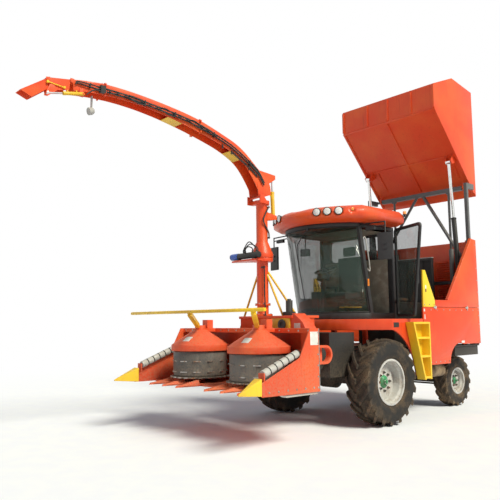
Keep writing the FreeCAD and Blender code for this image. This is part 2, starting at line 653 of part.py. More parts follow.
def mirrors():
    """Rear-view mirrors on cranked arms from the cab's top rail."""
    x, y, z = MIRROR_AT
    plate = box(-120, 120, -14, 14, z - 210, z + 210)
    plate = plate.makeFillet(12, [e for e in plate.Edges if abs(e.tangentAt(0).y) > 0.9])
    plate.rotate(V(0, 0, 0), V(0, 0, 1), 12)
    plate.translate(V(x, y, 0))
    top = CAB_HEAD_Z1 - 30
    arm = fuse([rod((CAB_X - 5, y - 60, top), (x + 10, y, top), 11),
                rod((x + 10, y, top + 9), (x + 10, y, z + 200), 11)])
    arm = arm.cut(box(0, CAB_X, y - 200, y + 100, top - 50, top + 50))
    left = fuse([plate, arm])
    save("mirrors", [left, mirror(left)])


def door(foot, head, low, high):
    """The left door, drawn closed and then swung open about its rear hinge."""
    gap = 6.0
    hinge_x, hinge_y = CAB_X + 24.0, CAB_REAR_Y - 30.0
    lean = (head - foot) / (high - low)
    rear = CAB_REAR_Y - 66
    x0, x1 = CAB_X + 4, CAB_X + 4 + DOOR_T

    def front_edge(z):
        return foot + 70 + gap + lean * (z - low)

    def outline(inset):
        z0, z1 = DOOR_Z0 + inset, DOOR_Z1 - inset
        return [(front_edge(z0) + inset, z0), (rear - inset, z0), (rear - inset, z1),
                (front_edge(z1) + inset, z1)]

    along_x = V(1, 0, 0)
    pane = rounded(prism_x(outline(DOOR_RAIL), x0 - 1, x1 + 1), 35, along_x)
    frame = rounded(prism_x(outline(0), x0, x1), 60, along_x).cut(pane)
    lugs = [box(x0, x1, rear - 1, hinge_y, z, z + 60) for z in DOOR_HINGES]
    knuckles = [rod((hinge_x, hinge_y, z), (hinge_x, hinge_y, z + 60), 16) for z in DOOR_HINGES]
    y_grip = front_edge(2150) + 8
    handle = box(x1 - 2, x1 + 22, y_grip, y_grip + 20, 2150, 2330)
    door_frame = fuse([frame, handle] + lugs + knuckles)
    glass = pane.common(box(x0 + 12, x0 + 20, head - 500, CAB_REAR_Y, low - 200, high + 200))
    for name, shape in (("door_frame", door_frame), ("door_glass", glass)):
        turned = shape.copy()
        turned.rotate(V(hinge_x, hinge_y, 0), V(0, 0, 1), DOOR_OPEN_DEG)
        save(name, turned)


def cab_interior():
    z = CAB_SILL_Z0 + 30
    seat = fuse([box(-60, 60, 330, 470, z, z + 300), box(-240, 240, 160, 620, z + 300, z + 420),
                 box(-230, 230, 540, 640, z + 400, z + 1050), box(-130, 130, 560, 640, z + 1070, z + 1240),
                 box(-20, 20, 585, 615, z + 1040, z + 1080)])
    column = rod((0, -171, z - 10), (0, -56, z + 790), 35).cut(box(-90, 90, -290, -60, z - 40, z))
    hoop = revolve_z([(162, -6), (175, -14), (188, -6), (188, 6), (175, 14), (162, 6)], (0, 0))
    spokes = [box(-170, 170, -18, 18, -5, 5), box(-18, 18, -170, 0, -5, 5)]
    wheel = fuse([hoop] + spokes)
    wheel.rotate(V(0, 0, 0), V(1, 0, 0), 20)
    wheel.translate(V(0, -56, z + 788))
    save("seat_and_wheel", [seat, fuse([column, wheel])])


# ---------------------------------------------------------------- lift mast and tank
def mast():
    top = HINGE_Z + 40
    posts = both(POST_X0, POST_X1, POST_Y0, POST_Y1, POST_FOOT_Z, top)
    caps = both(POST_X0, POST_X1, POST_Y1, HINGE_Y + 40, HINGE_Z - 60, top)
    beam = box(-BEAM_X, BEAM_X, HINGE_Y - BEAM / 2, HINGE_Y + BEAM / 2, HINGE_Z - BEAM / 2,
               HINGE_Z + BEAM / 2)
    shaft = rod((-POST_X0 - 5, HINGE_Y, HINGE_Z), (POST_X0 + 5, HINGE_Y, HINGE_Z), KINGPIN_R)
    foot = box(-POST_X0, POST_X0, POST_Y0, POST_Y1, POST_FOOT_Z, POST_FOOT_Z + 60)
    brace = square_bar((70, HINGE_Y - 10, HINGE_Z - 30), (1090, 2745, 2500), 46)
    pieces = posts + caps + [beam, shaft, foot, brace, mirror(brace)]
    by, bz = TIP_BASE
    for x0 in (TIP_X - 66, TIP_X + 50):
        ear = prism_x([(by + 30, POST_FOOT_Z), (POST_Y1, POST_FOOT_Z), (POST_Y1, POST_FOOT_Z + 60),
                       (by + 40, bz + 45),
                       (by - 45, bz + 45), (by - 45, POST_FOOT_Z)], x0, x0 + 16)
        pieces += [ear, mirror(ear)]
    pin = rod((TIP_X - 66, by, bz), (TIP_X + 66, by, bz), 20)
    pieces += [pin, mirror(pin)]
    for s in (1, -1):
        pad = box(LIFT_CYL_X - 35, LIFT_CYL_X + 35, HINGE_Y - 35, HINGE_Y + 35, HINGE_Z - 70, HINGE_Z - 35)
        pieces.append(pad if s > 0 else mirror(pad))
    rod_low = rod((LIFT_CYL_X, HINGE_Y, HINGE_Z - 70), (LIFT_CYL_X, HINGE_Y, 2600), 24)
    pieces += [rod_low, mirror(rod_low)]
    save("lift_frame", fuse(pieces))
    guides()


def guides():
    z0, z1 = FLOOR_Z1, WALL_TOP_Z - 10
    gap = 6.0
    web = both(POST_X1 + gap, POST_X1 + gap + 16, POST_Y0 - 18, POST_Y1 + 18, z0, z1)
    front = both(POST_X0, POST_X1 + gap + 16, POST_Y0 - 18, POST_Y0 - gap, z0, z1)
    rear = both(POST_X0, POST_X1 + gap + 16, POST_Y1 + gap, POST_Y1 + 18, z0, z1)
    left = fuse([web[0], front[0], rear[0]])
    barrel = tube((LIFT_CYL_X, HINGE_Y, FLOOR_Z1), (LIFT_CYL_X, HINGE_Y, 2940), 45, 25)
    foot = box(LIFT_CYL_X - 60, LIFT_CYL_X + 60, 2860, 3000, FLOOR_Z1, FLOOR_Z1 + 40)
    whole = fuse([barrel, foot])
    save("mast_guides", [left, mirror(left), whole, mirror(whole)])


def tank_profile(grow):
    """Side outline of the tank in the tipped position, moved outwards by grow."""
    face = Part.Face(wire([V(0, y, z) for y, z in TANK_OUTLINE]))
    if grow == 0:
        return face
    shape = face.makeOffset2D(grow, join=2)
    return shape if shape.Faces else Part.Face(shape.Wires[0])


def tank():
    outer = tank_profile(0).extrude(V(2 * TANK_X, 0, 0))
    outer.translate(V(-TANK_X, 0, 0))
    inner_face = tank_profile(-TANK_T)
    inner = inner_face.Faces[0].extrude(V(2 * (TANK_X - TANK_T), 0, 0))
    inner.translate(V(-TANK_X + TANK_T, 0, 0))
    mouth = inner.copy()
    mouth.translate(V(0, TANK_T + 8, 0))
    shell = outer.cut(inner).cut(mouth)
    edge = V(0, *TANK_OUTLINE[0])
    along = V(0, *TANK_OUTLINE[-1]) - edge
    along.normalize()
    out = V(0, along.z, -along.y)
    start = edge - out * 4
    pieces = [shell]
    floor_len = math.hypot(TANK_OUTLINE[0][0] - TANK_OUTLINE[-1][0],
                           TANK_OUTLINE[0][1] - TANK_OUTLINE[-1][1])
    ribs = [(-18, 18, 30, 1670), (-TANK_X, TANK_X, 1010, 1050), (-760, -724, 1040, 1540),
            (884, 920, 1040, 1540),
            (-TANK_X, -TANK_X + 40, 6, floor_len - 90), (TANK_X - 40, TANK_X, 6, floor_len - 90),
            (-TANK_X, TANK_X, 6, 46)]
    for x0, x1, a, b in ribs:
        p = start + along * a
        q = start + along * b
        rib = Part.Face(wire([V(x0, p.y, p.z), V(x0, q.y, q.z), V(x0, q.y + out.y * 25, q.z + out.z * 25),
                              V(x0, p.y + out.y * 25, p.z + out.z * 25)])).extrude(V(x1 - x0, 0, 0))
        pieces.append(rib)
    front_y = TANK_OUTLINE[0][0]
    for x in (-TANK_X + 20, -445, 37, 566, TANK_X - 20):
        pieces.append(box(x - 20, x + 20, front_y - 22, front_y + 5, TANK_OUTLINE[0][1] + 10,
                          TANK_OUTLINE[1][1] - 30))
    hinge = V(0, HINGE_Y, HINGE_Z)
    foot = (hinge - start).dot(along)
    base = start + along * foot
    corners = (base - along * 90, base + along * 90, hinge + along * 34 + out * 34,
               hinge - along * 34 + out * 34)
    ear = Part.Face(wire([V(TANK_EAR_X, p.y, p.z) for p in corners])).extrude(V(TANK_EAR_T, 0, 0))
    ear = ear.cut(rod((TANK_EAR_X - 5, HINGE_Y, HINGE_Z), (TANK_EAR_X + TANK_EAR_T + 5, HINGE_Y, HINGE_Z),
                      KINGPIN_R + PIN_GAP))
    pieces += [ear, mirror(ear)]
    eye = V(0, TIP_EYE[0], TIP_EYE[1])
    reach = (eye - start).dot(along)
    seat = start + along * reach
    for x0 in (TIP_X - 66, TIP_X + 50):
        a = seat - along * 90
        b = seat + along * 90
        tip0 = eye - along * 40 + out * 20
        tip1 = eye + along * 40 + out * 20
        lug_plate = Part.Face(wire([V(x0, p.y, p.z) for p in (a, b, tip1, tip0)])).extrude(V(16, 0, 0))
        pieces += [lug_plate, mirror(lug_plate)]
    save("tank", fuse(pieces))


def tip_cylinders():
    barrel, piston = ram(TIP_BASE, TIP_EYE, TIP_X, 1180, 45, 28, 20, 1000, 46)
    save("tip_barrels", [barrel, mirror(barrel)])
    save("tip_rods", [piston, mirror(piston)])


# ---------------------------------------------------------------- header
def header():
    rear, top, low = HEADER_REAR_Y, HEADER_TOP_Z, HEADER_LOW_Z
    x = HEADER_X
    t = 16.0
    side = [(rear, low), (rear, top), (-2017, top), (-2212, 1119), (SIDE_TIP_Y, 850), (SIDE_TIP_Y, 690),
            (-2740, 687)]
    left = prism_x(side, x - t, x)
    wings = both(BAY_X, x - t, rear - 20, rear, low, top)
    bay = box(-BAY_X, BAY_X, rear - 20, BAY_Y, low, top)
    bay = bay.cut(box(-BAY_X + t, BAY_X - t, rear - 21, BAY_Y - 20, low + 24, top - 16))
    throat = box(-330, 330, BAY_Y - 20, BAY_Y + 40, 770, 1330)
    throat_hole = box(-300, 300, BAY_Y - 30, BAY_Y + 50, 800, 1300)
    beam = box(-x + t, x - t, rear - 120, rear - 20, top - 60, top)
    floor = box(-x + t, x - t, -2500, rear - 20, low, low + 24)
    py, pz = HEADER_PIVOT
    arm = prism_x([(BAY_Y, pz - 150), (BAY_Y, pz + 150), (py + 55, pz + 50), (py + 55, pz - 50)], 660, 700)
    arm = arm.cut(rod((650, py, pz), (710, py, pz), KINGPIN_R + PIN_GAP))
    eye_y, eye_z = HEADER_CYL_EYE
    trough = fuse([bay, throat]).cut(throat_hole)
    pieces = wings + [trough, beam, floor, arm, mirror(arm), left, mirror(left)]
    for x0 in (HEADER_CYL_X - 58, HEADER_CYL_X + 42):
        ear = prism_x([(BAY_Y - 4, eye_z - 70), (BAY_Y - 4, eye_z + 90), (eye_y + 30, eye_z + 34),
                       (eye_y + 30, eye_z - 34)], x0, x0 + 16)
        pieces += [ear, mirror(ear)]
    for s in (1, -1):
        pieces.append(rod((s * DRUM_X, DRUM_Y, low + 10), (s * DRUM_X, DRUM_Y, 768), 70))
    for (y, z), drop in ((ROLLER_LOW, 100), (ROLLER_HIGH, 30)):
        ear = box(x - 115, x - t, y - 8, y + 8, z - drop, z + 30)
        pieces += [ear, mirror(ear)]
    guard = chain_guard(x)
    pieces += [guard, mirror(guard)]
    frame = fuse(pieces)
    save("header_frame", frame)
    y = SIDE_TIP_Y
    tip = Part.makeLoft([wire([V(x, y, 700), V(x, y, 905), V(x - 130, y, 905), V(x - 130, y, 700)]),
                         wire([V(x - 10, -3220, 728), V(x - 10, -3220, 745), V(x - 30, -3220, 745),
                               V(x - 30, -3220, 728)])], True, True)
    save("divider_tips", [tip, mirror(tip)])
    roller = side_roller(x - 75)
    save("side_rollers", [roller, mirror(roller)])
    caps()
    bar_arms()
    guards()
    drums()


def side_roller(x):
    """A ribbed roller above the slanted edge of a header side."""
    (y0, z0), (y1, z1) = ROLLER_LOW, ROLLER_HIGH
    length = math.hypot(y1 - y0, z1 - z0)
    end, ribs = 27.0, 6
    pitch = (length - 2 * end) / ribs
    profile = [(end, 0)]
    for i in range(ribs):
        a = end + pitch * i
        profile += [(a, 40), (a, 50), (a + pitch - 14, 50), (a + pitch - 14, 40)]
    profile += [(length - end, 40), (length - end, 0)]
    roller = revolve_x(profile, (0, 0))
    roller.Placement = FreeCAD.Placement(V(x, y0, z0), FreeCAD.Rotation(V(1, 0, 0), V(0, y1 - y0, z1 - z0)))
    return roller


def chain_guard(x):
    """Curved guard of the side drive behind a header side."""
    y, z = BAY_Y + 190, 1125
    out = arc_yz(x - 260, (y, z + 125), (y + 125, z), (y, z - 125))
    back = arc_yz(x - 260, (y, z - 95), (y + 95, z), (y, z + 95))
    face = Part.Face(Part.Wire([out, line(V(x - 260, y, z - 125), V(x - 260, y, z - 95)), back,
                                line(V(x - 260, y, z + 95), V(x - 260, y, z + 125))]))
    band = face.extrude(V(90, 0, 0))
    stays = [box(x - 260, x - 170, HEADER_REAR_Y - 5, y, z + 95, z + 125),
             box(x - 260, x - 170, HEADER_REAR_Y - 5, y, z - 125, z - 95)]
    cheek = box(x - 260, x - 250, HEADER_REAR_Y - 5, y, z - 125, z + 125)
    return fuse([band, cheek] + stays)


def caps():
    caps_out = []
    for s in (1, -1):
        cone = revolve_z(CAP_OUTLINE, (s * DRUM_X, DRUM_Y))
        strap = box(s * DRUM_X - 70, s * DRUM_X + 70, DRUM_Y, HEADER_REAR_Y - 120, HEADER_TOP_Z - 50,
                    HEADER_TOP_Z)
        neck = box(s * DRUM_X - 60, s * DRUM_X + 60, DRUM_Y + 90, DRUM_Y + 200, HEADER_TOP_Z - 5, 1610)
        caps_out.append(fuse([cone, strap, neck]))
    save("drum_caps", caps_out)


def bar_arms():
    y, z = -2876.0, 1718.0
    bar = rod((-1493, y, z), (1493, y, z), 22)
    pieces = [bar]
    for s in (1, -1):
        foot = (s * DRUM_X + 40, DRUM_Y - 60, 1505)
        head = (s * DRUM_X + 620, y + 10, z - 15)
        pieces.append(square_bar(foot, head, 44))
    bars = fuse(pieces)
    cut = [revolve_z(CAP_OUTLINE, (s * DRUM_X, DRUM_Y)) for s in (1, -1)]
    save("push_bar", bars.cut(cut[0]).cut(cut[1]))


def guards():
    """Pointed crop lifters along the header's front edge."""
    fingers = []
    low = HEADER_LOW_Z
    for cx in (-980, -650, -320, 320, 650, 980):
        heel = wire([V(cx - 70, -2500, low), V(cx + 70, -2500, low), V(cx + 30, -2500, low + 80),
                     V(cx - 30, -2500, low + 80)])
        knee = wire([V(cx - 45, -2700, low), V(cx + 45, -2700, low), V(cx + 16, -2700, low + 46),
                     V(cx - 16, -2700, low + 46)])
        toe = wire([V(cx - 7, -2880, low), V(cx + 7, -2880, low), V(cx + 4, -2880, low + 10),
                    V(cx - 4, -2880, low + 10)])
        fingers.append(Part.makeLoft([heel, knee, toe], True, True))
    save("row_guards", fingers)


def toothed(cx, cy, r_root, r_tip, teeth, z0, z1):
    """A toothed gathering ring: hooked saw teeth round a disc."""
    points = []
    for i in range(teeth):
        a = 2 * math.pi * i / teeth
        step = 2 * math.pi / teeth
        points.append((cx + r_root * math.cos(a), cy + r_root * math.sin(a)))
        points.append((cx + r_tip * math.cos(a + 0.70 * step), cy + r_tip * math.sin(a + 0.70 * step)))
        points.append((cx + r_root * math.cos(a + 0.78 * step), cy + r_root * math.sin(a + 0.78 * step)))
    return prism_z(points, z0, z1)


def drums():
    """Gathering drums: a saw disc at the foot and two hooked rings round a slotted cylinder."""
    cx, cy = DRUM_X, DRUM_Y
    core = revolve_z([(0, 790), (DRUM_R - 30, 790), (DRUM_R - 12, 815), (DRUM_R - 12, 1150), (0, 1150)],
                     (cx, cy))
    pieces = [core, toothed(cx, cy, DRUM_R, DRUM_R + 38, 24, 776, 790),
              toothed(cx, cy, DRUM_R - 20, DRUM_R + 12, 12, 856, 868),
              toothed(cx, cy, DRUM_R - 20, DRUM_R + 12, 12, 1008, 1020)]
    drum = fuse(pieces)
    save("drum_left", drum)
    save("drum_right", mirror(drum))


def ram(base, eye, x, barrel_len, barrel_r, rod_r, pin_r, rod_in, half):
    """A hydraulic cylinder in the plane x: a bored barrel on its base pin and a rod with its eye."""
    start = V(x, base[0], base[1])
    along = V(x, eye[0], eye[1]) - start
    length = along.Length
    along.normalize()

    def at(d):
        p = start + along * d
        return (p.x, p.y, p.z)

    foot = rod((x - half, base[0], base[1]), (x + half, base[0], base[1]), barrel_r * 0.9)
    barrel = fuse([rod(at(barrel_r * 0.5), at(barrel_len), barrel_r), foot])
    barrel = barrel.cut(rod((x - half - 9, base[0], base[1]), (x + half + 9, base[0], base[1]),
                            pin_r + PIN_GAP))
    barrel = barrel.cut(rod(at(barrel_r * 1.7), at(barrel_len + 10), rod_r + 1))
    head = rod((x - half, eye[0], eye[1]), (x + half, eye[0], eye[1]), rod_r * 1.5)
    piston = fuse([rod(at(rod_in), at(length), rod_r), head])
    return barrel, piston


def header_cylinders():
    barrel, piston = ram(HEADER_CYL_BASE, HEADER_CYL_EYE, HEADER_CYL_X, 440, 36, 20, 18, 330, 38)
    save("header_barrels", [barrel, mirror(barrel)])
    save("header_rods", [piston, mirror(piston)])


# ---------------------------------------------------------------- chopper housing and chute
def chopper():
    low = box(-500, 620, -1520, CHASSIS_FRONT_Y, 760, 1620)
    top = box(-520, 640, -1540, -960, 1620, 1660)
    shelf = box(-690, -500, -1450, -1330, 1420, 1460)
    hood = prism_y([(620, 1400), (930, 1400), (895, 1450), (820, 1570), (660, 1690), (620, 1690)], -1520,
                   -1290)
    save("chopper_housing", fuse([low, top, shelf, hood]))
    plate = box(205, 585, -1536, -1520, 1440, 1620).cut(rod((430, -1540, 1530), (430, -1510, 1530), 78))
    motor_stack = fuse([box(220, 370, -1300, -1180, 1660, 1720),
                        rod((295, -1240, 1720), (295, -1240, 1890), 52),
                        rod((295, -1240, 1890), (295, -1240, 1912), 30)])
    reach = POST_CY + SLEW_MOTOR_Y
    axis_z = SLEW_Z + 30
    slew_motor = [rod((POST_CX - 455, reach, axis_z), (POST_CX + 180, reach, axis_z), 48)]
    for x0 in (POST_CX - 300, POST_CX + 60):
        slew_motor.append(box(x0, x0 + 40, reach - 30, reach + 30, SLEW_Z - 30, axis_z))
    save("feed_motor", [motor_stack, post_hose(), fuse(slew_motor)])
    cx, cy = POST_CX, POST_CY
    post = revolve_z([(0, 1660), (150, 1660), (150, 1690), (POST_R, 1690), (POST_R, 1820), (120, 1820),
                      (120, 1850),
                      (POST_R, 1850), (POST_R, SLEW_Z - 60), (165, SLEW_Z - 60), (165, SLEW_Z - 5),
                      (0, SLEW_Z - 5)],
                     (cx, cy))
    reach = cy + SLEW_MOTOR_Y
    arm = prism_z([(cx + 120, cy - 60), (cx + 130, reach - 45), (cx - 330, reach - 45),
                   (cx - 450, reach - 10),
                   (cx - 450, reach + 30), (cx - 110, cy + 60),
                   (cx + 60, cy + 100)], SLEW_Z - 55, SLEW_Z - 30)
    save("chute_post", fuse([post, arm]))
    legs = [((cx + 75, cy + 50, 2340), (250, -1030, 1660)), ((cx - 75, cy - 10, 2340), (-655, -1390, 1460)),
            ((cx + 80, cy + 20, 2300), (170, -1250, 1660))]
    struts = [rod(a, b, 16) for a, b in legs]
    post_cut = rod((cx, cy, 1600), (cx, cy, 2600), POST_R + 0.2)
    above = box(-1000, 1000, -2000, 0, 1000, 1660).cut(box(-695, -505, -1500, -1300, 1460, 1700))
    struts = [s.cut(post_cut).cut(above) for s in struts]
    save("post_struts", struts + [plate])


def curve(points):
    """A smooth curve through (reach, z) points in the plane of the post axis."""
    spline = Part.BSplineCurve()
    spline.interpolate([V(POST_CX, POST_CY - reach, z) for reach, z in points])
    return spline.toShape()


def chute_body(low, high, half):
    """A duct between a lower and an upper curve, half wide to each side of the post axis."""
    under, over = curve(low), curve(high)
    ends = [line(under.Vertexes[0].Point, over.Vertexes[0].Point),
            line(under.Vertexes[-1].Point, over.Vertexes[-1].Point)]
    face = Part.Face(Part.Wire(Part.__sortEdges__([under, over] + ends)))
    face.translate(V(-half, 0, 0))
    return face.extrude(V(2 * half, 0, 0))


def channel(top, depth, half, thick, back=0.0):
    """An inverted U channel under a top edge from (reach, z) to (reach, z), its end slanted by back."""
    (s0, z0), (s1, z1) = top
    length = math.hypot(s1 - s0, z1 - z0)
    n = ((z1 - z0) / length, -(s1 - s0) / length)
    d0, d1 = depth
    ux, uz = (s1 - s0) / length, (z1 - z0) / length
    outline = [(s0, z0), (s1, z1), (s1 + n[0] * d1 - ux * back, z1 + n[1] * d1 - uz * back),
               (s0 + n[0] * d0 + 40, z0 + n[1] * d0)]
    yz = [(POST_CY - s, z) for s, z in outline]
    outer = prism_x(yz, POST_CX - half, POST_CX + half)
    inner = prism_x(yz, POST_CX - half + thick, POST_CX + half - thick)
    inner.translate(V(0, -n[0] * thick, n[1] * thick))
    return outer.cut(inner)


def slew_tube():
    cx, cy = POST_CX, POST_CY
    collar = revolve_z([(0, SLEW_Z), (170, SLEW_Z), (170, SLEW_Z + 60), (POST_R + 10, SLEW_Z + 230),
                      (POST_R, SLEW_Z + 250),
                      (POST_R, POST_TOP_Z - 80), (122, POST_TOP_Z - 80), (122, POST_TOP_Z - 20),
                      (POST_R - 8, POST_TOP_Z - 20), (POST_R - 8, SLEW_Z + 40), (0, SLEW_Z + 40)], (cx, cy))
    base_y, base_z = cy + CHUTE_CYL_BASE[0], CHUTE_CYL_BASE[1]
    pieces = [collar]
    for x0 in (cx - 54, cx + 38):
        pieces.append(prism_x([(cy + 70, base_z - 60), (base_y + 30, base_z - 30),
                               (base_y + 30, base_z + 30),
                               (cy + 70, base_z + 70)], x0, x0 + 16))
    pieces.append(rod((cx - 54, base_y, base_z), (cx + 54, base_y, base_z), 16))
    hy, hz = cy - CHUTE_HINGE[0], CHUTE_HINGE[1]
    for x0 in (cx - 150, cx + 132):
        pieces.append(prism_x([(cy - 40, POST_TOP_Z - 80), (hy - 40, POST_TOP_Z - 80), (hy - 40, hz + 30),
                               (hy + 30, hz + 30), (cy - 40, POST_TOP_Z - 20)], x0, x0 + 18))
    pieces.append(rod((cx - 150, hy, hz), (cx + 150, hy, hz), 14))
    shelf = box(cx - 150, cx + 150, cy - 110, cy - 40, POST_TOP_Z - 80, POST_TOP_Z - 20)
    pieces.append(shelf.cut(rod((cx, cy, POST_TOP_Z - 90), (cx, cy, POST_TOP_Z), POST_R)))
    save("slew_tube", fuse(pieces))


def chute():
    cx, cy = POST_CX, POST_CY
    wall = 6.0
    duct = chute_body(CHUTE_LOW, CHUTE_HIGH, CHUTE_HALF)
    low_in = [(s, z + wall) for s, z in CHUTE_LOW]
    high_in = [(s + wall if s < 0 else s, z - wall) for s, z in CHUTE_HIGH]
    space = chute_body(low_in, high_in, CHUTE_HALF - wall)
    mouth = space.copy()
    mouth.translate(V(0, -12, 0))
    inlet = space.copy()
    inlet.translate(V(0, 0, -20))
    hy, hz = cy - CHUTE_HINGE[0], CHUTE_HINGE[1]
    bush = rod((cx - 125, hy, hz), (cx + 125, hy, hz), 28)
    cheeks = [prism_x([(hy - 28, hz - 4), (hy + 28, hz - 4), (cy - 60, 3660), (cy - 190, 3720)], x0,
                      x0 + 12)
              for x0 in (cx - CHUTE_HALF - 6, cx + CHUTE_HALF - 6)]
    lugs = []
    for x0 in (cx - 54, cx + 38):
        lugs.append(prism_x([(cy + 30, 3700), (cy + CHUTE_CYL_EYE[0] + 30, CHUTE_CYL_EYE[1] - 30),
                             (cy + CHUTE_CYL_EYE[0] + 30, CHUTE_CYL_EYE[1] + 34), (cy - 170, 3945),
                             (cy - 150, 3900)],
                            x0, x0 + 16))
    foot = box(cx - CHUTE_HALF - 25, cx + CHUTE_HALF + 12, cy - FLAP_CYL_BASE[0] - 25,
               cy - FLAP_CYL_BASE[0] + 25,
               FLAP_CYL_BASE[1] - 25, FLAP_CYL_BASE[1] + 80)
    foot = foot.cut(box(cx - 400, cx + CHUTE_HALF - 3, cy - 4000, cy, 4000, 5000))
    stud = rod((cx + CHUTE_HALF, cy - FLAP_CYL_BASE[0], FLAP_CYL_BASE[1]),
               (FLAP_CYL_X + 24, cy - FLAP_CYL_BASE[0], FLAP_CYL_BASE[1]), 12)
    band = chute_body([(s, z - 14) for s, z in CHUTE_LOW], [(s, z + 14) for s, z in CHUTE_HIGH],
                      CHUTE_HALF + 14)
    bands = [band.common(box(cx - 200, cx + 200, cy - s - 9, cy - s + 9, 3000, 5000)) for s in CHUTE_BANDS]
    shell = fuse([duct] + bands).cut(space).cut(mouth).cut(inlet)
    h0, hz0 = FLAP_HINGE1
    ears = [prism_x([(cy - h0 + 34, hz0 - 60), (cy - h0 - 18, hz0 - 24), (cy - h0 - 18, hz0 + 14),
                     (cy - h0 + 34, hz0 + 12)],
                    x0, x0 + 6) for x0 in (cx - CHUTE_HALF, cx + CHUTE_HALF - 6)]
    whole = fuse([shell, bush, foot, stud] + lugs + cheeks + ears)
    whole = whole.cut(rod((cx - 160, hy, hz), (cx + 160, hy, hz), 14 + PIN_GAP))
    save("chute", whole)


def hose(points, r):
    """A hose of flat facets along a smooth curve through hand-placed clip points."""
    path = Part.BSplineCurve()
    path.interpolate([V(*p) for p in points])
    stations = HOSE_STEPS * (len(points) - 1)
    loops = []
    for i in range(stations + 1):
        u = path.FirstParameter + (path.LastParameter - path.FirstParameter) * i / stations
        along = path.tangent(u)[0]
        across = V(1, 0, 0).cross(along)
        across.normalize()
        up = along.cross(across)
        turns = [2 * math.pi * k / HOSE_SIDES for k in range(HOSE_SIDES)]
        loops.append([path.value(u) + across * (r * math.cos(a)) + up * (r * math.sin(a)) for a in turns])
    faces = [loops[0], loops[-1]]
    for near, far in zip(loops, loops[1:]):
        for i in range(HOSE_SIDES):
            j = (i + 1) % HOSE_SIDES
            faces += [[near[i], near[j], far[j]], [near[i], far[j], far[i]]]
    return polyhedron(faces)


def hoses():
    """Supply hoses: along the chute's side, down the turning tube and down the fixed post."""
    cx, cy = POST_CX, POST_CY
    side = cx + CHUTE_HALF + 28
    runs = []
    for dx, dz in ((0, 0), (4, 34)):
        points = [(side + dx, cy - reach, z + dz) for reach, z in CHUTE_HOSE]
        runs.append(hose(points, 11))
    clips = []
    for i in (2, 4, 6, 8):
        reach, z = CHUTE_HOSE[i]
        clips.append(box(cx + CHUTE_HALF, side + 20, cy - reach - 9, cy - reach + 9, z - 16, z + 52))
    reach, z = CHUTE_HOSE[-1]
    block = box(cx + CHUTE_HALF, side + 34, cy - reach - 65, cy - reach + 5, z - 30, z + 60)
    hose_set = fuse(runs + clips + [block])
    lamp_y = cy - 2950
    bracket = box(cx - 20, cx + 20, lamp_y - 6, lamp_y + 6, 4285, 4452)
    head = rod((cx, lamp_y + 30, 4262), (cx, lamp_y - 40, 4240), 48)
    save("chute_fittings", [hose_set, fuse([bracket, head])])
    tube_run = hose([(cx + POST_R + 13, cy + 60, POST_TOP_Z - 110), (cx + POST_R + 16, cy - 30, 3230),
                     (cx + POST_R + 14, cy - 60, 3120), (cx + POST_R + 16, cy + 40, 2960),
                     (cx + POST_R + 18, cy + 50, 2860)], 11)
    clip = box(cx + POST_R - 30, cx + POST_R + 26, cy + 36, cy + 62, 2864, 2884)
    clip_top = box(cx + POST_R - 34, cx + POST_R + 22, cy + 44, cy + 70, POST_TOP_Z - 130, POST_TOP_Z - 112)
    core = rod((cx, cy, 2800), (cx, cy, POST_TOP_Z), POST_R)
    save("tube_hose", fuse([tube_run, clip, clip_top]).cut(core))


def post_hose():
    """The supply hose down the front of the fixed post to the chopper's top plate."""
    cx, cy = POST_CX, POST_CY
    run = hose([(cx + 106, cy - 62, 2430), (cx + 108, cy - 62, 2200), (cx + 112, cy - 64, 1980),
                (cx + 138, cy - 80, 1800),
                (cx + 154, cy - 92, 1672)], 11)
    union = rod((cx + 154, cy - 92, 1660), (cx + 154, cy - 92, 1690), 15)
    clip = box(cx + 40, cx + 118, cy - 78, cy - 48, 2400,
               2420).cut(rod((cx, cy, 2300), (cx, cy, 2500), POST_R))
    return fuse([run, clip, union])


def flaps():
    cx, cy = POST_CX, POST_CY
    inner = channel((FLAP1, FLAP2), (143.0, 152.0), CHUTE_HALF - 14, 6)
    ey, ez = cy - FLAP_CYL_EYE[0], FLAP_CYL_EYE[1]
    lug_plate = prism_x([(ey - 22, ez - 20), (ey + 22, ez - 20), (ey + 150, ez + 90), (ey + 60, ez + 160)],
                        cx + CHUTE_HALF - 18, cx + CHUTE_HALF - 6)
    boss = rod((cx + CHUTE_HALF - 18, ey, ez), (FLAP_CYL_X - 16, ey, ez), 13)
    (h0, hz0), (h1, hz1) = FLAP_HINGE1, FLAP_HINGE2
    pin = rod((cx - CHUTE_HALF + 8, cy - h0, hz0), (cx + CHUTE_HALF - 8, cy - h0, hz0), 14)
    ears = [prism_x([(cy - h1 + 34, hz1 - 50), (cy - h1 - 16, hz1 - 22), (cy - h1 - 16, hz1 + 12),
                     (cy - h1 + 34, hz1 + 22)],
                    x0, x0 + 6) for x0 in (cx - CHUTE_HALF + 14, cx + CHUTE_HALF - 20)]
    save("flap_inner", fuse([inner, lug_plate, boss, pin] + ears))
    (s0, z0), (s1, z1) = FLAP2, FLAP_TIP
    outer = channel(((s0 + 22, z0 - 15), (s1, z1)), (135.0, 125.0), CHUTE_HALF - 26, 6, 83.0)
    pin = rod((cx - CHUTE_HALF + 22, cy - h1, hz1), (cx + CHUTE_HALF - 22, cy - h1, hz1), 11)
    save("flap_outer", fuse([outer, pin]))
    barrel, piston = ram((cy - FLAP_CYL_BASE[0], FLAP_CYL_BASE[1]), (ey, ez), FLAP_CYL_X, 255, 22, 11, 12,
                         152, 14)
    save("flap_barrel", barrel)
    save("flap_rod", piston)
    barrel, piston = ram((cy + CHUTE_CYL_BASE[0], CHUTE_CYL_BASE[1]),
                         (cy + CHUTE_CYL_EYE[0], CHUTE_CYL_EYE[1]),
                         cx, 420, 32, 16, 16, 300, 34)
    save("chute_barrel", barrel)
    save("chute_rod", piston)


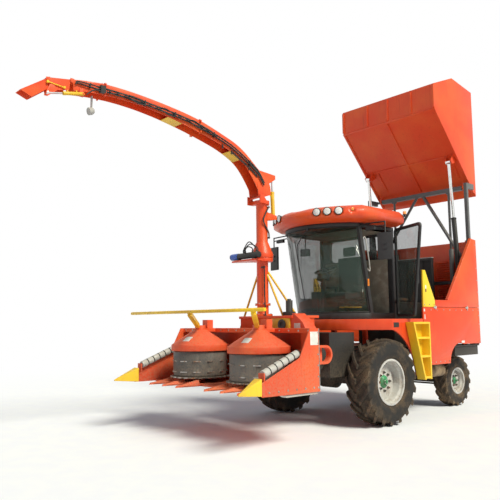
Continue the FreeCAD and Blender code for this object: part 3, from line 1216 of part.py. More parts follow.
def main():
    os.makedirs("parts", exist_ok=True)
    for old in os.listdir("parts"):
        os.remove(os.path.join("parts", old))
    wheels()
    chassis()
    save("axles", [front_axle(), rear_axle()])
    steering()
    body()
    platform()
    ladder()
    cab()
    mast()
    tank()
    tip_cylinders()
    header()
    header_cylinders()
    chopper()
    slew_tube()
    chute()
    flaps()
    hoses()


main()
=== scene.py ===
"""Looks of a self-propelled corn harvester with a chopping header, a swivelling chute and a tipping tank.

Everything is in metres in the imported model's frame: the machine faces -Y and its left side is +X.
"""
import json
import math

import bmesh
import bpy
from mathutils import Matrix, Vector
from mathutils.bvhtree import BVHTree


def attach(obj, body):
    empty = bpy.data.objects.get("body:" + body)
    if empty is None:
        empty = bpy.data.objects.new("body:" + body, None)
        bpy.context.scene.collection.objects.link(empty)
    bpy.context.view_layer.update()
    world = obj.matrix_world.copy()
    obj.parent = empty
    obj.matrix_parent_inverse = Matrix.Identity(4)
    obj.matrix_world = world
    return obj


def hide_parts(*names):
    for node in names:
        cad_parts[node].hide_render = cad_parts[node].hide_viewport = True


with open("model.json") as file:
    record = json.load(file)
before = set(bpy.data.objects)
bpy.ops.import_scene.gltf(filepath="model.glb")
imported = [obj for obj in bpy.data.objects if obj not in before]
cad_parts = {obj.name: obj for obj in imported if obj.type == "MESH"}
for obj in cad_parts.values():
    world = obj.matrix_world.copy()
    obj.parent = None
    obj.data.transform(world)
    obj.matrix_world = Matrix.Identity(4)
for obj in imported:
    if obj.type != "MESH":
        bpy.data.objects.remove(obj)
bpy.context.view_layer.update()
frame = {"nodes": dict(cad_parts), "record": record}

bl_info = {
    "name": "Corn harvester looks",
    "version": (1, 0, 0),
    "blender": (4, 5, 0),
    "location": "View3D > Sidebar > Harvester",
    "description": "Dresses the packed model of a self-propelled corn harvester",
    "category": "Object",
}

BODY_OF = {}
for body_name, body_nodes in frame["record"]["behaviour"]["bodies"].items():
    for body_node in body_nodes:
        BODY_OF[body_node] = body_name

# ---------------------------------------------------------------- sizes, in metres
POST = Vector((-0.15, -1.366, 0.0))
CHUTE_HALF = 0.101
CHUTE_HOSE = [(0.06, 3.69), (0.19, 3.86), (0.36, 3.975), (0.71, 4.16), (1.06, 4.28), (1.41, 4.375), (1.75, 4.425),
              (2.0, 4.452), (2.24, 4.475), (2.52, 4.498), (2.84, 4.505)]
SCREEN_Z0, SCREEN_Z1 = 1.7, 3.07
SCREEN_FOOT, SCREEN_HEAD, SCREEN_HALF, SCREEN_BOW = 0.1, -0.15, 0.77, 0.43
ROOF_LAMP_Z, ROOF_LAMP_R = 3.285, 0.058
ROOF_LAMP_XS, MARKER_X = (-0.725, -0.575, -0.42, 0.42, 0.575, 0.725), 0.885
ROOF_HALF, ROOF_NOSE, ROOF_RISE = 1.0, -0.79, 0.54
BEACON = (1.017, 0.815, 0.0)
SUPPLY_LINES = ((0.028, 0.0), (0.032, 0.034))
DRUM_X, DRUM_Y = 0.65, -2.2
TOOTH_ROWS = ((0.41, 0.448, 24, 0.7752, 0.7908), (0.39, 0.422, 12, 0.8552, 0.8688),
              (0.39, 0.422, 12, 1.0072, 1.0208))  # root and tip radius, count, lower and upper z
ROW_CENTRES = (-0.98, -0.65, -0.32, 0.32, 0.65, 0.98)
ROLLER_X, ROLLER_FOOT, ROLLER_HEAD, ROLLER_RIBS = 1.342, (0, -2.81, 0.935), (0, -2.15, 1.182), 6
SKID_X, SIGN_X = (1.31, 1.4), (1.4168, 1.4195)
STEP_HEIGHTS = (0.69, 1.02, 1.31, 1.545)
SEAT_Z = 1.93
PANEL_X = 1.208
WHEELS = {
    "front": {"radius": 0.65, "width": 0.42, "rim": 0.33, "outer": 1.244, "centre": (0.0, 0.65), "lugs": 18,
              "lug": 0.038, "inset": 0.175, "hub": 0.092, "hub_edge": 0.095, "studs": 8, "circle": 0.275,
              "soil": 0.42},
    "rear": {"radius": 0.455, "width": 0.26, "rim": 0.225, "outer": 0.78, "centre": (2.72, 0.455), "lugs": 16,
             "lug": 0.022, "inset": 0.09, "hub": 0.062, "hub_edge": 0.066, "studs": 6, "circle": 0.19,
             "soil": 0.7},
}
EDGE_ANGLE, FLAT_ANGLE, SMOOTH_ANGLE = 32.0, 0.6, 35.0  # degrees
WELD = 0.00002
TIP = 0.0005  # the radius at which a turned shape closes on its axis
UP = Vector((0, 0, 1))
FLOOR_HALF = 400.0
EYE, LOOK = (6.7326, -7.8313, 1.5706), (-0.73737, 0.66515, 0.0)
PITCH, ROLL = 0.118, -0.00968  # radians
LENS = 43.77  # millimetres

# BVH trees of the imported parts' surfaces, by node name, made when first needed.
SURFACES = {}


# ---------------------------------------------------------------- nodes and shader maths
def plug(tree, socket, value):
    """Give an input socket a value, or a link when the value is a socket."""
    value = getattr(value, "socket", value)
    if isinstance(value, bpy.types.NodeSocket):
        tree.links.new(value, socket)
    else:
        socket.default_value = value


def add_node(tree, kind, settings=None, values=None):
    """A new node: its settings first, then the values or links of its sockets."""
    made = tree.nodes.new(kind)
    for key, setting in (settings or {}).items():
        setattr(made, key, setting)
    for key, value in (values or {}).items():
        plug(tree, made.inputs[key], value)
    return made


class Value:
    """A shader socket on which plain arithmetic adds Math nodes."""

    def __init__(self, finish, socket):
        self.finish, self.socket = finish, socket

    def _math(self, operation, a, b=0.0, clamp=False):
        return self.finish.node("ShaderNodeMath", {"operation": operation, "use_clamp": clamp}, {0: a, 1: b})

    def __add__(self, other):
        return self._math("ADD", self, other)

    def __radd__(self, other):
        return self._math("ADD", other, self)

    def __sub__(self, other):
        return self._math("SUBTRACT", self, other)

    def __rsub__(self, other):
        return self._math("SUBTRACT", other, self)

    def __mul__(self, other):
        return self._math("MULTIPLY", self, other)

    def __rmul__(self, other):
        return self._math("MULTIPLY", other, self)

    def most(self, other):
        return self._math("MAXIMUM", self, other)

    def held(self):
        return self._math("ADD", self, 0.0, clamp=True)

    def root(self):
        return self._math("SQRT", self)

    def wave(self):
        return self._math("SINE", self)

    def ramp(self, low, high):
        """0 below low, 1 above high and a smooth rise between them."""
        return self.finish.node("ShaderNodeMapRange", {"interpolation_type": "SMOOTHSTEP"},
                                {"Value": self, "From Min": low, "From Max": high})


class Finish:
    """One node-based material, built through a principled shader."""

    def __init__(self, name):
        self.material = bpy.data.materials.new(name)
        self.material.use_nodes = True
        self.tree = self.material.node_tree
        self.shader = self.tree.nodes["Principled BSDF"]
        self.place = self.node("ShaderNodeTexCoord", out="Object")
        self.bump_normal = None

    def node(self, kind, settings=None, values=None, out=0):
        return Value(self, add_node(self.tree, kind, settings, values).outputs[out])

    def axes(self, vector=None):
        split = add_node(self.tree, "ShaderNodeSeparateXYZ", {}, {0: vector or self.place})
        return [Value(self, split.outputs[i]) for i in range(3)]

    def distance(self, centre):
        """How far a point is from an axis that runs along X through a (y, z) centre."""
        y, z = self.axes()[1:]
        dy, dz = y - centre[0], z - centre[1]
        return (dy * dy + dz * dz).root()

    def noise(self, scale, detail=3.0, rough=0.55, stretch=None):
        place = self.place
        if stretch:
            place = self.node("ShaderNodeMapping", {}, {"Vector": self.place, "Scale": stretch})
        return self.node("ShaderNodeTexNoise", {}, {"Vector": place, "Scale": scale, "Detail": detail,
                                                    "Roughness": rough})

    def cells(self, scale):
        return self.node("ShaderNodeTexVoronoi", {"feature": "F1"}, {"Vector": self.place, "Scale": scale})

    def mix(self, share, a, b):
        """Colour a where share is 0 and colour b where it is 1."""
        return self.node("ShaderNodeMix", {"data_type": "RGBA"}, {0: share, 6: a, 7: b}, out=2)

    def up(self):
        """How far a surface faces upwards, from 0 to 1."""
        return self.axes(self.node("ShaderNodeNewGeometry", out="Normal"))[2].most(0.0)

    def bump(self, height, distance, strength=1.0):
        values = {"Height": height, "Distance": distance, "Strength": strength}
        if self.bump_normal:
            values["Normal"] = self.bump_normal
        self.bump_normal = self.node("ShaderNodeBump", {}, values)

    def set(self, **values):
        names = {"colour": "Base Color", "rough": "Roughness", "metal": "Metallic", "coat": "Coat Weight",
                 "coat_rough": "Coat Roughness", "sheen": "Sheen Weight", "alpha": "Alpha",
                 "glow": "Emission Color", "glow_strength": "Emission Strength", "through": "Transmission Weight",
                 "ior": "IOR", "spec": "Specular IOR Level"}
        for key, value in values.items():
            plug(self.tree, self.shader.inputs[names[key]], value)
        if self.bump_normal:
            plug(self.tree, self.shader.inputs["Normal"], self.bump_normal)
        return self.material


def rgb(colour, gain=1.0):
    """A colour with full alpha, lighter or darker by a gain."""
    return (colour[0] * gain, colour[1] * gain, colour[2] * gain, 1.0)


DUST = (0.42, 0.31, 0.2)
SOIL_LIGHT, SOIL_DARK = (0.3, 0.2, 0.115), (0.15, 0.1, 0.062)


def painted(name, colour, faded, dust, gloss, low, high, grime=0.25):
    """Machine paint: slow fading, fine orange peel, scratches to primer, and field dust that thickens downwards."""
    f = Finish(name)
    z = f.axes()[2]
    slow = f.noise(1.1, 4.0, 0.6)
    fine = f.noise(38.0, 5.0, 0.65)
    base = f.mix(slow.ramp(0.35, 0.68), rgb(colour), rgb(faded))
    streaks = f.noise(6.0, 3.0, 0.5, (5.0, 5.0, 0.35)).ramp(0.56, 0.74) * grime
    base = f.mix(streaks, base, rgb(colour, 0.62))
    fall = 1.0 - z.ramp(low, high)
    settled = (fall * 0.75 + f.up() * 0.35) * fine.ramp(0.3, 0.62) * dust
    base = f.mix(settled.held(), base, rgb(DUST))
    scratch = f.noise(75.0, 2.0, 0.4, (0.15, 1.0, 2.2)).ramp(0.735, 0.765)
    base = f.mix(scratch * 0.35, base, rgb(colour, 0.38))
    f.bump(f.noise(520.0, 2.0, 0.5), 0.00035, 0.25)
    rough = gloss + 0.06 + slow * 0.1 + settled * 0.9
    return f.set(colour=base, rough=rough.held(), coat=(0.14 - settled).held(), coat_rough=0.15, spec=0.34)


def chrome_rod(name):
    """Hard chrome with fine bands and a film of oil."""
    f = Finish(name)
    band = f.noise(260.0, 2.0, 0.5)
    oil = f.noise(9.0, 3.0, 0.6).ramp(0.45, 0.7)
    return f.set(colour=f.mix(oil * 0.35, rgb((0.8, 0.8, 0.8)), rgb((0.45, 0.42, 0.38))), metal=1.0,
                 rough=(0.1 + band * 0.08 + oil * 0.15))


def bare_steel(name, colour, rust):
    """Unpainted steel with patches of rust."""
    f = Finish(name)
    patch = f.noise(14.0, 5.0, 0.65).ramp(0.46, 0.66)
    grain = f.noise(160.0, 3.0, 0.6)
    f.bump(grain, 0.0006, 0.4)
    return f.set(colour=f.mix(patch, rgb(colour), rgb(rust)), metal=(0.95 - patch * 0.8).held(),
                 rough=0.34 + patch * 0.4 + grain * 0.08)


def tyre_rubber(name, centre, radius, soil):
    """Black rubber with dried soil on the lugs' flanks, in the bead groove and in patches on the wall."""
    f = Finish(name)
    r = f.distance(centre)
    grain = f.noise(55.0, 5.0, 0.7)
    worn = f.noise(5.5, 4.0, 0.6)
    tread = r.ramp(radius * 0.84, radius * 0.97)
    bead = 1.0 - r.ramp(radius * 0.52, radius * 0.66)
    share = (tread * 0.62 + bead * 0.55 + worn.ramp(0.4, 0.7) * 0.5) * grain.ramp(0.24, 0.62) * soil
    soil_colour = f.mix(worn.ramp(0.35, 0.65), rgb(SOIL_DARK), rgb(SOIL_LIGHT))
    base = f.mix(share.held(), rgb((0.02, 0.019, 0.019)), soil_colour)
    f.bump(grain, 0.0022, 0.35)
    return f.set(colour=base, rough=0.74 + worn * 0.2, spec=0.3)


def rim_paint(name, centre, hub_r, rim_r):
    """Off-white wheel paint with a green hub, rusty grime in patches and a bare silver flange."""
    f = Finish(name)
    r = f.distance(centre)
    worn = f.noise(9.0, 5.0, 0.65)
    fine = f.noise(60.0, 4.0, 0.65)
    hub = 1.0 - r.ramp(hub_r, hub_r + 0.004)
    base = f.mix(worn.ramp(0.4, 0.66) * 0.6, rgb((0.5, 0.49, 0.47)), rgb((0.33, 0.29, 0.25)))
    rust = (fine.ramp(0.52, 0.66) * worn.ramp(0.48, 0.62)) * 0.75
    base = f.mix(rust, base, rgb((0.16, 0.065, 0.03)))
    flange = r.ramp(rim_r - 0.012, rim_r - 0.004)
    base = f.mix(flange * 0.8, base, rgb((0.58, 0.58, 0.57)))
    base = f.mix(flange * fine.ramp(0.5, 0.7) * 0.7, base, rgb((0.22, 0.15, 0.09)))
    green = f.mix(worn.ramp(0.45, 0.7), rgb((0.03, 0.26, 0.1)), rgb((0.05, 0.14, 0.06)))
    base = f.mix(hub, base, green)
    f.bump(fine, 0.0008, 0.35)
    return f.set(colour=base, rough=0.46 + worn * 0.25, metal=flange * 0.5, coat=0.08)


def clear_glass(name):
    """Thin tinted glass with faint smears and dust."""
    f = Finish(name)
    smear = f.noise(3.2, 4.0, 0.6)
    dust = f.noise(30.0, 3.0, 0.6)
    see = 0.37 + smear.ramp(0.5, 0.8) * 0.1 + dust.ramp(0.6, 0.8) * 0.05
    f.material.surface_render_method = "DITHERED"
    return f.set(colour=f.mix(smear.ramp(0.45, 0.8), rgb((0.022, 0.055, 0.038)), rgb((0.06, 0.09, 0.068))),
                 rough=0.04 + smear * 0.05, alpha=see.held(), coat=0.4, coat_rough=0.03)


def lens(name, colour, rough, glow=0.0):
    """A ribbed plastic or glass lens."""
    f = Finish(name)
    ribs = (f.axes()[0] * 900.0).wave() * 0.5 + 0.5
    tint = f.noise(35.0, 2.0, 0.5)
    f.bump(ribs, 0.0012, 0.5)
    return f.set(colour=f.mix(tint.ramp(0.3, 0.7), rgb(colour), rgb(colour, 0.8)), rough=rough, coat=0.8,
                 coat_rough=0.05, glow=rgb(colour), glow_strength=glow)


def rubber(name, colour, dusty):
    """Hose and seal rubber with some dust."""
    f = Finish(name)
    worn = f.noise(12.0, 4.0, 0.6)
    grain = f.noise(240.0, 3.0, 0.6)
    f.bump(grain, 0.0005, 0.4)
    return f.set(colour=f.mix(worn.ramp(0.45, 0.75) * dusty, rgb(colour), rgb((0.16, 0.135, 0.11))),
                 rough=0.55 + worn * 0.2, spec=0.4)


def moulded(name, colour, rough):
    """Moulded plastic with a pored skin."""
    f = Finish(name)
    pores = f.cells(420.0)
    worn = f.noise(7.0, 4.0, 0.6)
    f.bump(pores, 0.0005, 0.35)
    return f.set(colour=f.mix(worn.ramp(0.45, 0.75), rgb(colour), rgb(colour, 1.7)), rough=rough + worn * 0.14)


def seat_fabric(name):
    """Woven seat cloth, worn in patches."""
    f = Finish(name)
    x, y, z = f.axes()
    warp = ((x * 620.0).wave() * ((y + z) * 620.0).wave()) * 0.5 + 0.5
    worn = f.noise(8.0, 4.0, 0.6)
    f.bump(warp, 0.001, 0.4)
    base = f.mix(warp, rgb((0.022, 0.023, 0.026)), rgb((0.046, 0.047, 0.053)))
    return f.set(colour=f.mix(worn.ramp(0.5, 0.8) * 0.4, base, rgb((0.1, 0.09, 0.08))), rough=0.9, sheen=0.1)


def muddy_metal(name):
    """Sheet metal under a crust of dried mud."""
    f = Finish(name)
    blotch = f.noise(6.0, 5.0, 0.7)
    grit = f.noise(90.0, 4.0, 0.7)
    f.bump(grit, 0.004, 0.5)
    f.bump(blotch, 0.01, 0.4)
    return f.set(colour=f.mix(blotch.ramp(0.38, 0.66), rgb((0.11, 0.07, 0.04)), rgb((0.3, 0.215, 0.13))),
                 rough=0.8 + grit * 0.15)


FINISHES = {}
MATERIAL_NAMES = {
    "zinc": "zinc_bolt", "white_lens": "white_reflector", "rod_chrome": "chromed_rod", "clear_glass": "cab_pane",
    "seat_cloth": "seat_weave", "tank_brown": "muddy_tank", "tyre_front": "tyre_front_rubber",
    "tyre_rear": "tyre_rear_rubber", "rim_front": "rim_front_paint", "rim_rear": "rim_rear_paint",
}


def make_finishes(tones):
    """Every finish by its name, with the user's colours in the paints."""
    orange, deep, yellow = tuple(tones.orange), tuple(tones.orange_faded), tuple(tones.yellow)
    tables = {
        painted: {
            "orange_paint": (orange, deep, 0.3, 0.3, 0.3, 1.6),
            "header_paint": (orange, deep, 0.55, 0.36, 0.2, 1.9),
            "tank_paint": (orange, deep, 0.12, 0.34, 0.2, 1.0, 0.35),
            "yellow_paint": (yellow, (0.62, 0.36, 0.03), 0.35, 0.34, 0.3, 1.4),
            "black_paint": ((0.012, 0.012, 0.013), (0.02, 0.019, 0.018), 0.3, 0.42, 0.2, 1.5),
            "grey_paint": ((0.085, 0.088, 0.092), (0.14, 0.14, 0.14), 0.3, 0.38, 0.3, 1.4),
            "drum_paint": ((0.055, 0.055, 0.058), (0.12, 0.115, 0.11), 0.45, 0.42, 0.5, 1.4),
            "silver_paint": ((0.46, 0.46, 0.45), (0.36, 0.35, 0.33), 0.35, 0.34, 0.3, 1.4),
        },
        bare_steel: {
            "cast_steel": ((0.1, 0.095, 0.09), (0.2, 0.085, 0.035)),
            "worn_steel": ((0.36, 0.34, 0.32), (0.2, 0.085, 0.035)),
            "zinc": ((0.48, 0.47, 0.44), (0.2, 0.15, 0.1)),
        },
        lens: {
            "lamp_lens": ((0.82, 0.84, 0.84), 0.1), "amber_lens": ((0.9, 0.26, 0.01), 0.12, 0.08),
            "white_lens": ((0.8, 0.8, 0.79), 0.2), "mirror_silver": ((0.55, 0.57, 0.58), 0.06),
        },
        moulded: {
            "lining_beige": ((0.25, 0.235, 0.185), 0.7), "plate_white": ((0.62, 0.62, 0.6), 0.4),
            "blue_cap": ((0.03, 0.1, 0.45), 0.35), "black_plastic": ((0.012, 0.012, 0.013), 0.46),
        },
        rubber: {"hose_rubber": ((0.02, 0.02, 0.021), 0.3), "seal_rubber": ((0.014, 0.014, 0.014), 0.2)},
        tyre_rubber: {"tyre_" + end: (w["centre"], w["radius"], w["soil"]) for end, w in WHEELS.items()},
        rim_paint: {"rim_" + end: (w["centre"], w["hub_edge"], w["rim"]) for end, w in WHEELS.items()},
        chrome_rod: {"rod_chrome": ()}, clear_glass: {"clear_glass": ()}, seat_fabric: {"seat_cloth": ()},
        muddy_metal: {"tank_brown": ()},
    }
    for make, rows in tables.items():
        for name, sizes in rows.items():
            FINISHES[name] = make(MATERIAL_NAMES.get(name, name), *sizes)


# ---------------------------------------------------------------- mesh helpers
def mesh_of(work, name="stock"):
    """A mesh from a bmesh, which is then freed."""
    mesh = bpy.data.meshes.new(name)
    work.to_mesh(mesh)
    work.free()
    return mesh


def put_in_scene(name, data):
    """A new object that shows some data."""
    piece = bpy.data.objects.new(name, data)
    bpy.context.scene.collection.objects.link(piece)
    return piece


def settle(name, mesh, finish, part, replaces=(), smooth=None):
    """Put a finished mesh in the scene with its finish, on a body or on the body that carries a node."""
    mesh.name = name
    mesh.materials.clear()
    mesh.materials.append(FINISHES[finish])
    if smooth is not None:
        mesh.shade_smooth()
        mesh.set_sharp_from_angle(angle=math.radians(smooth))
    piece = put_in_scene(name, mesh)
    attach(piece, BODY_OF.get(part, part))
    if replaces:
        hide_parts(*replaces)
    return piece


def bevelled(mesh, width):
    """A copy of a mesh with rounded edges, through a Bevel modifier that is then made real."""
    holder = put_in_scene("bevel_holder", mesh)
    mesh.shade_smooth()
    if width:
        bevel = holder.modifiers.new("Bevel", "BEVEL")
        bevel.width, bevel.segments = width, 2
        bevel.limit_method, bevel.angle_limit = "ANGLE", math.radians(EDGE_ANGLE)
        bevel.harden_normals = bevel.use_clamp_overlap = True
    return made_real(holder)


def made_real(holder):
    """The evaluated mesh of an object, which is then removed."""
    bpy.context.view_layer.update()
    graph = bpy.context.evaluated_depsgraph_get()
    mesh = bpy.data.meshes.new_from_object(holder.evaluated_get(graph))
    old = holder.data
    bpy.data.objects.remove(holder)
    if isinstance(old, bpy.types.Mesh) and old.users == 0:
        bpy.data.meshes.remove(old)
    return mesh


def dress(node, finish, width):
    """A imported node's own shape with rounded edges and a finish, standing for the node."""
    mesh = frame["nodes"][node].data.copy()
    work = bmesh.new()
    work.from_mesh(mesh)
    bmesh.ops.remove_doubles(work, verts=work.verts, dist=WELD)
    bmesh.ops.dissolve_limit(work, angle_limit=math.radians(FLAT_ANGLE), verts=work.verts, edges=work.edges)
    work.to_mesh(mesh)
    work.free()
    settle(node + "_dressed", bevelled(mesh, width), finish, node, [node])


def skinned(work, rings, looped=False, capped=True):
    """Faces between rings of vertices, back to the first ring if looped, and over both ends if capped."""
    count = len(rings[0])
    for near, far in list(zip(rings, rings[1:])) + ([(rings[-1], rings[0])] if looped else []):
        for k in range(count):
            j = (k + 1) % count
            work.faces.new((near[k], near[j], far[j], far[k]))
    if capped:
        work.faces.new(list(reversed(rings[0])))
        work.faces.new(rings[-1])


def around(count, radius, start=0.0):
    """Points (radius cos, radius sin) spaced evenly round a circle."""
    angles = [start + 2 * math.pi * k / count for k in range(count)]
    return [(radius * math.cos(a), radius * math.sin(a)) for a in angles]


def from_to(a, b):
    """The placing of a shape that is centred between two points with its Z along them, and its length."""
    along = Vector(b) - Vector(a)
    middle = Matrix.Translation((Vector(a) + Vector(b)) / 2)
    return middle @ along.to_track_quat("Z", "Y").to_matrix().to_4x4(), along.length


class Stock:
    """Bars, plates, rings and tubes gathered into one mesh."""

    def __init__(self):
        self.work = bmesh.new()

    def box(self, low, high, turn=None, about=None):
        matrix = Matrix.Translation((Vector(low) + Vector(high)) / 2)
        size = Vector(high) - Vector(low)
        made = bmesh.ops.create_cube(self.work, size=1.0, matrix=matrix @ Matrix.Diagonal((*size, 1.0)))
        if turn is not None:
            bmesh.ops.rotate(self.work, cent=Vector(about), matrix=turn, verts=made["verts"])

    def rod(self, a, b, r, sides=16, r_end=None):
        matrix, length = from_to(a, b)
        far = r if r_end is None else r_end
        bmesh.ops.create_cone(self.work, cap_ends=True, segments=sides, radius1=r, radius2=far, depth=length,
                              matrix=matrix)

    def bar(self, a, b, side):
        """A square bar between two points, its flats kept level."""
        matrix, length = from_to(a, b)
        bmesh.ops.create_cube(self.work, size=1.0, matrix=matrix @ Matrix.Diagonal((side, side, length, 1.0)))

    def lathe(self, profile, at, axis, sides=32):
        """Turn (along, radius) points about an axis through a point."""
        matrix = Matrix.Translation(Vector(at)) @ Vector(axis).to_track_quat("Z", "Y").to_matrix().to_4x4()
        rings = [[self.work.verts.new(matrix @ Vector((u, v, along))) for u, v in around(sides, r)]
                 for along, r in profile]
        skinned(self.work, rings, capped=profile[0] != profile[-1])

    def prism(self, outline, offset):
        """A plate from a flat outline of points, made thick along an offset vector."""
        offset = Vector(offset)
        low = [self.work.verts.new(Vector(p)) for p in outline]
        high = [self.work.verts.new(Vector(p) + offset) for p in outline]
        self.work.faces.new(list(reversed(low)))
        self.work.faces.new(high)
        for i in range(len(low)):
            j = (i + 1) % len(low)
            self.work.faces.new((low[i], low[j], high[j], high[i]))

    def tube(self, points, r, sides=10, closed=False):
        """A round bar or hose along points."""
        points = [Vector(p) for p in points]
        count = len(points)
        rings = []
        up = None
        for i, p in enumerate(points):
            near = points[i - 1] if i or closed else p
            far = points[(i + 1) % count] if i + 1 < count or closed else p
            along = (far - near).normalized()
            if up is None:
                up = along.orthogonal()
            up = (up - along * up.dot(along)).normalized()
            side = along.cross(up)
            wide = r[i] if isinstance(r, list) else r
            rings.append([self.work.verts.new(p + up * u + side * v) for u, v in around(sides, wide)])
        skinned(self.work, rings, closed, not closed)

    def hose(self, points, r, steps=8, sides=10):
        """A tube along a smooth curve through points."""
        self.tube(smooth_path(points, steps), r, sides)

    def mesh(self, width=0.0):
        bmesh.ops.recalc_face_normals(self.work, faces=self.work.faces[:])
        mesh = mesh_of(self.work)
        return bevelled(mesh, width) if width else mesh

    def done(self, name, finish, part="root", width=0.0, replaces=(), smooth=SMOOTH_ANGLE):
        return settle(name, self.mesh(width), finish, part, replaces, None if width else smooth)


def surface_of(node):
    """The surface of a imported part, for laying thin pieces on it."""
    if node not in SURFACES:
        mesh = frame["nodes"][node].data
        SURFACES[node] = BVHTree.FromPolygons([v.co.copy() for v in mesh.vertices],
                                              [tuple(p.vertices) for p in mesh.polygons])
    return SURFACES[node]


def laid_on(stock, node, corner, across, along, way, proud=0.0012, steps=6):
    """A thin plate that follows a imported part's surface, seen from a parallelogram along a direction."""
    way = Vector(way).normalized()
    top, low = [], []
    for i in range(steps + 1):
        for j in range(steps + 1):
            start = Vector(corner) + Vector(across) * (i / steps) + Vector(along) * (j / steps)
            hit = surface_of(node).ray_cast(start, way)[0]
            if hit is None:
                raise RuntimeError("no surface of %s under a plate at %s" % (node, tuple(start)))
            top.append(stock.work.verts.new(hit - way * proud))
            low.append(stock.work.verts.new(hit + way * 0.0005))
    row = steps + 1
    for i in range(steps):
        for j in range(steps):
            a, b, c, d = i * row + j, (i + 1) * row + j, (i + 1) * row + j + 1, i * row + j + 1
            stock.work.faces.new((top[a], top[b], top[c], top[d]))
            stock.work.faces.new((low[d], low[c], low[b], low[a]))
    edge = [i * row for i in range(steps)] + [steps * row + j for j in range(steps)]
    edge += [i * row + steps for i in range(steps, 0, -1)] + [j for j in range(steps, 0, -1)]
    for a, b in zip(edge, edge[1:] + edge[:1]):
        stock.work.faces.new((top[a], low[a], low[b], top[b]))


def wrapped(stock, points, r, pitch=0.007, rise=0.0022):
    """A spiral guard round a hose: a sleeve whose radius swells at each turn."""
    dense = smooth_path(points, 2)
    path = [dense[0]]
    for a, b in zip(dense, dense[1:]):
        count = max(1, int((b - a).length / (pitch / 2)))
        path += [a.lerp(b, (k + 1) / count) for k in range(count)]
    stock.tube(path, [r + (rise if k % 2 else 0.0) for k in range(len(path))], 10)


def gland(stock, a, along, length, r, rod_r):
    """The threaded ring at the open end of a cylinder's barrel."""
    inner = rod_r + 0.0012
    stock.lathe([(length - 0.03, r), (length - 0.028, r * 1.09), (length - 0.006, r * 1.09),
                 (length - 0.003, r * 1.04), (length + 0.004, r * 1.04), (length + 0.004, inner),
                 (length - 0.03, inner), (length - 0.03, r)], a, along, 28)


def smooth_path(points, steps=8):
    """Catmull-Rom points through given points."""
    points = [Vector(p) for p in points]
    ends = [points[0] * 2 - points[1]] + points + [points[-1] * 2 - points[-2]]
    out = []
    for i in range(1, len(ends) - 2):
        a, b, c, d = ends[i - 1:i + 3]
        for k in range(steps):
            t = k / steps
            square, cube = 2 * a - 5 * b + 4 * c - d, 3 * b - a - 3 * c + d
            out.append(0.5 * (2 * b + (c - a) * t + square * t * t + cube * t ** 3))
    return out + [points[-1]]


# ---------------------------------------------------------------- geometry node trees
class Tree:
    """A small builder for geometry node trees."""

    def __init__(self, name):
        self.group = bpy.data.node_groups.new(name, "GeometryNodeTree")
        self.group.interface.new_socket("Geometry", in_out="OUTPUT", socket_type="NodeSocketGeometry")
        self.group.interface.new_socket("Geometry", in_out="INPUT", socket_type="NodeSocketGeometry")
        self.source = self.group.nodes.new("NodeGroupInput")
        self.sink = self.group.nodes.new("NodeGroupOutput")

    def size(self, name, default, kind="NodeSocketFloat"):
        socket = self.group.interface.new_socket(name, in_out="INPUT", socket_type=kind)
        if default is not None:
            socket.default_value = default
        return self.source.outputs[name]

    def node(self, kind, settings=None, values=None, out=0):
        made = add_node(self.group, kind, settings, values)
        return made.outputs[out] if len(made.outputs) else made

    def maths(self, operation, *terms):
        return self.node("ShaderNodeMath", {"operation": operation}, dict(enumerate(terms)))

    def copies(self, points, shape, turn, material):
        """Copies of a shape on points, each with its turn, made real and painted."""
        placed = self.node("GeometryNodeInstanceOnPoints", {}, {"Points": points, "Instance": shape,
                                                                "Rotation": turn})
        real = self.node("GeometryNodeRealizeInstances", {}, {0: placed})
        final = self.node("GeometryNodeSetMaterial", {}, {"Geometry": real, "Material": material})
        self.group.links.new(final, self.sink.inputs[0])
        return self.group


def grown(mesh, group, values):
    """Run a tree on a mesh with values for its inputs, and return the plain mesh."""
    holder = put_in_scene("holder", mesh)
    modifier = holder.modifiers.new("Nodes", "NODES")
    modifier.node_group = group
    for item in group.interface.items_tree:
        if item.in_out == "INPUT" and item.name in values:
            modifier[item.identifier] = values[item.name]
    return made_real(holder)


def seats(points):
    """A mesh of bare points that carry the way each fastener faces."""
    mesh = bpy.data.meshes.new("seats")
    mesh.from_pydata([tuple(p) for p, _ in points], [], [])
    facing = mesh.attributes.new("facing", "FLOAT_VECTOR", "POINT")
    for i, (_, way) in enumerate(points):
        facing.data[i].vector = Vector(way).normalized()
    return mesh


def bolt_tree():
    """Hexagon heads on washers, one on each seat, turned to face outwards."""
    t = Tree("hexagon_bolts")
    radius, height = t.size("Head radius", 0.01), t.size("Head height", 0.007)
    material = t.size("Material", None, "NodeSocketMaterial")
    head = t.node("GeometryNodeMeshCylinder", {}, {"Vertices": 6, "Radius": radius, "Depth": height})
    washer = t.node("GeometryNodeMeshCylinder", {}, {"Vertices": 14, "Radius": t.maths("MULTIPLY", radius, 1.45),
                                                     "Depth": t.maths("MULTIPLY", height, 0.28)})
    lift = t.node("ShaderNodeCombineXYZ", {}, {2: t.maths("MULTIPLY", height, 0.5)})
    raised = t.node("GeometryNodeTransform", {}, {"Geometry": head, "Translation": lift})
    both = t.group.nodes.new("GeometryNodeJoinGeometry")
    t.group.links.new(washer, both.inputs[0])
    t.group.links.new(raised, both.inputs[0])
    facing = t.node("GeometryNodeInputNamedAttribute", {"data_type": "FLOAT_VECTOR"}, {"Name": "facing"})
    turn = t.node("FunctionNodeAlignRotationToVector", {"axis": "Z"}, {"Vector": facing})
    points = t.node("GeometryNodeMeshToPoints", {}, {"Mesh": t.source.outputs["Geometry"]})
    return t.copies(points, both.outputs[0], turn, material)


def spread(a, b, count):
    """Evenly spaced points from a to b, both ends included."""
    return [Vector(a).lerp(Vector(b), i / (count - 1)) for i in range(count)]


TREES = {}


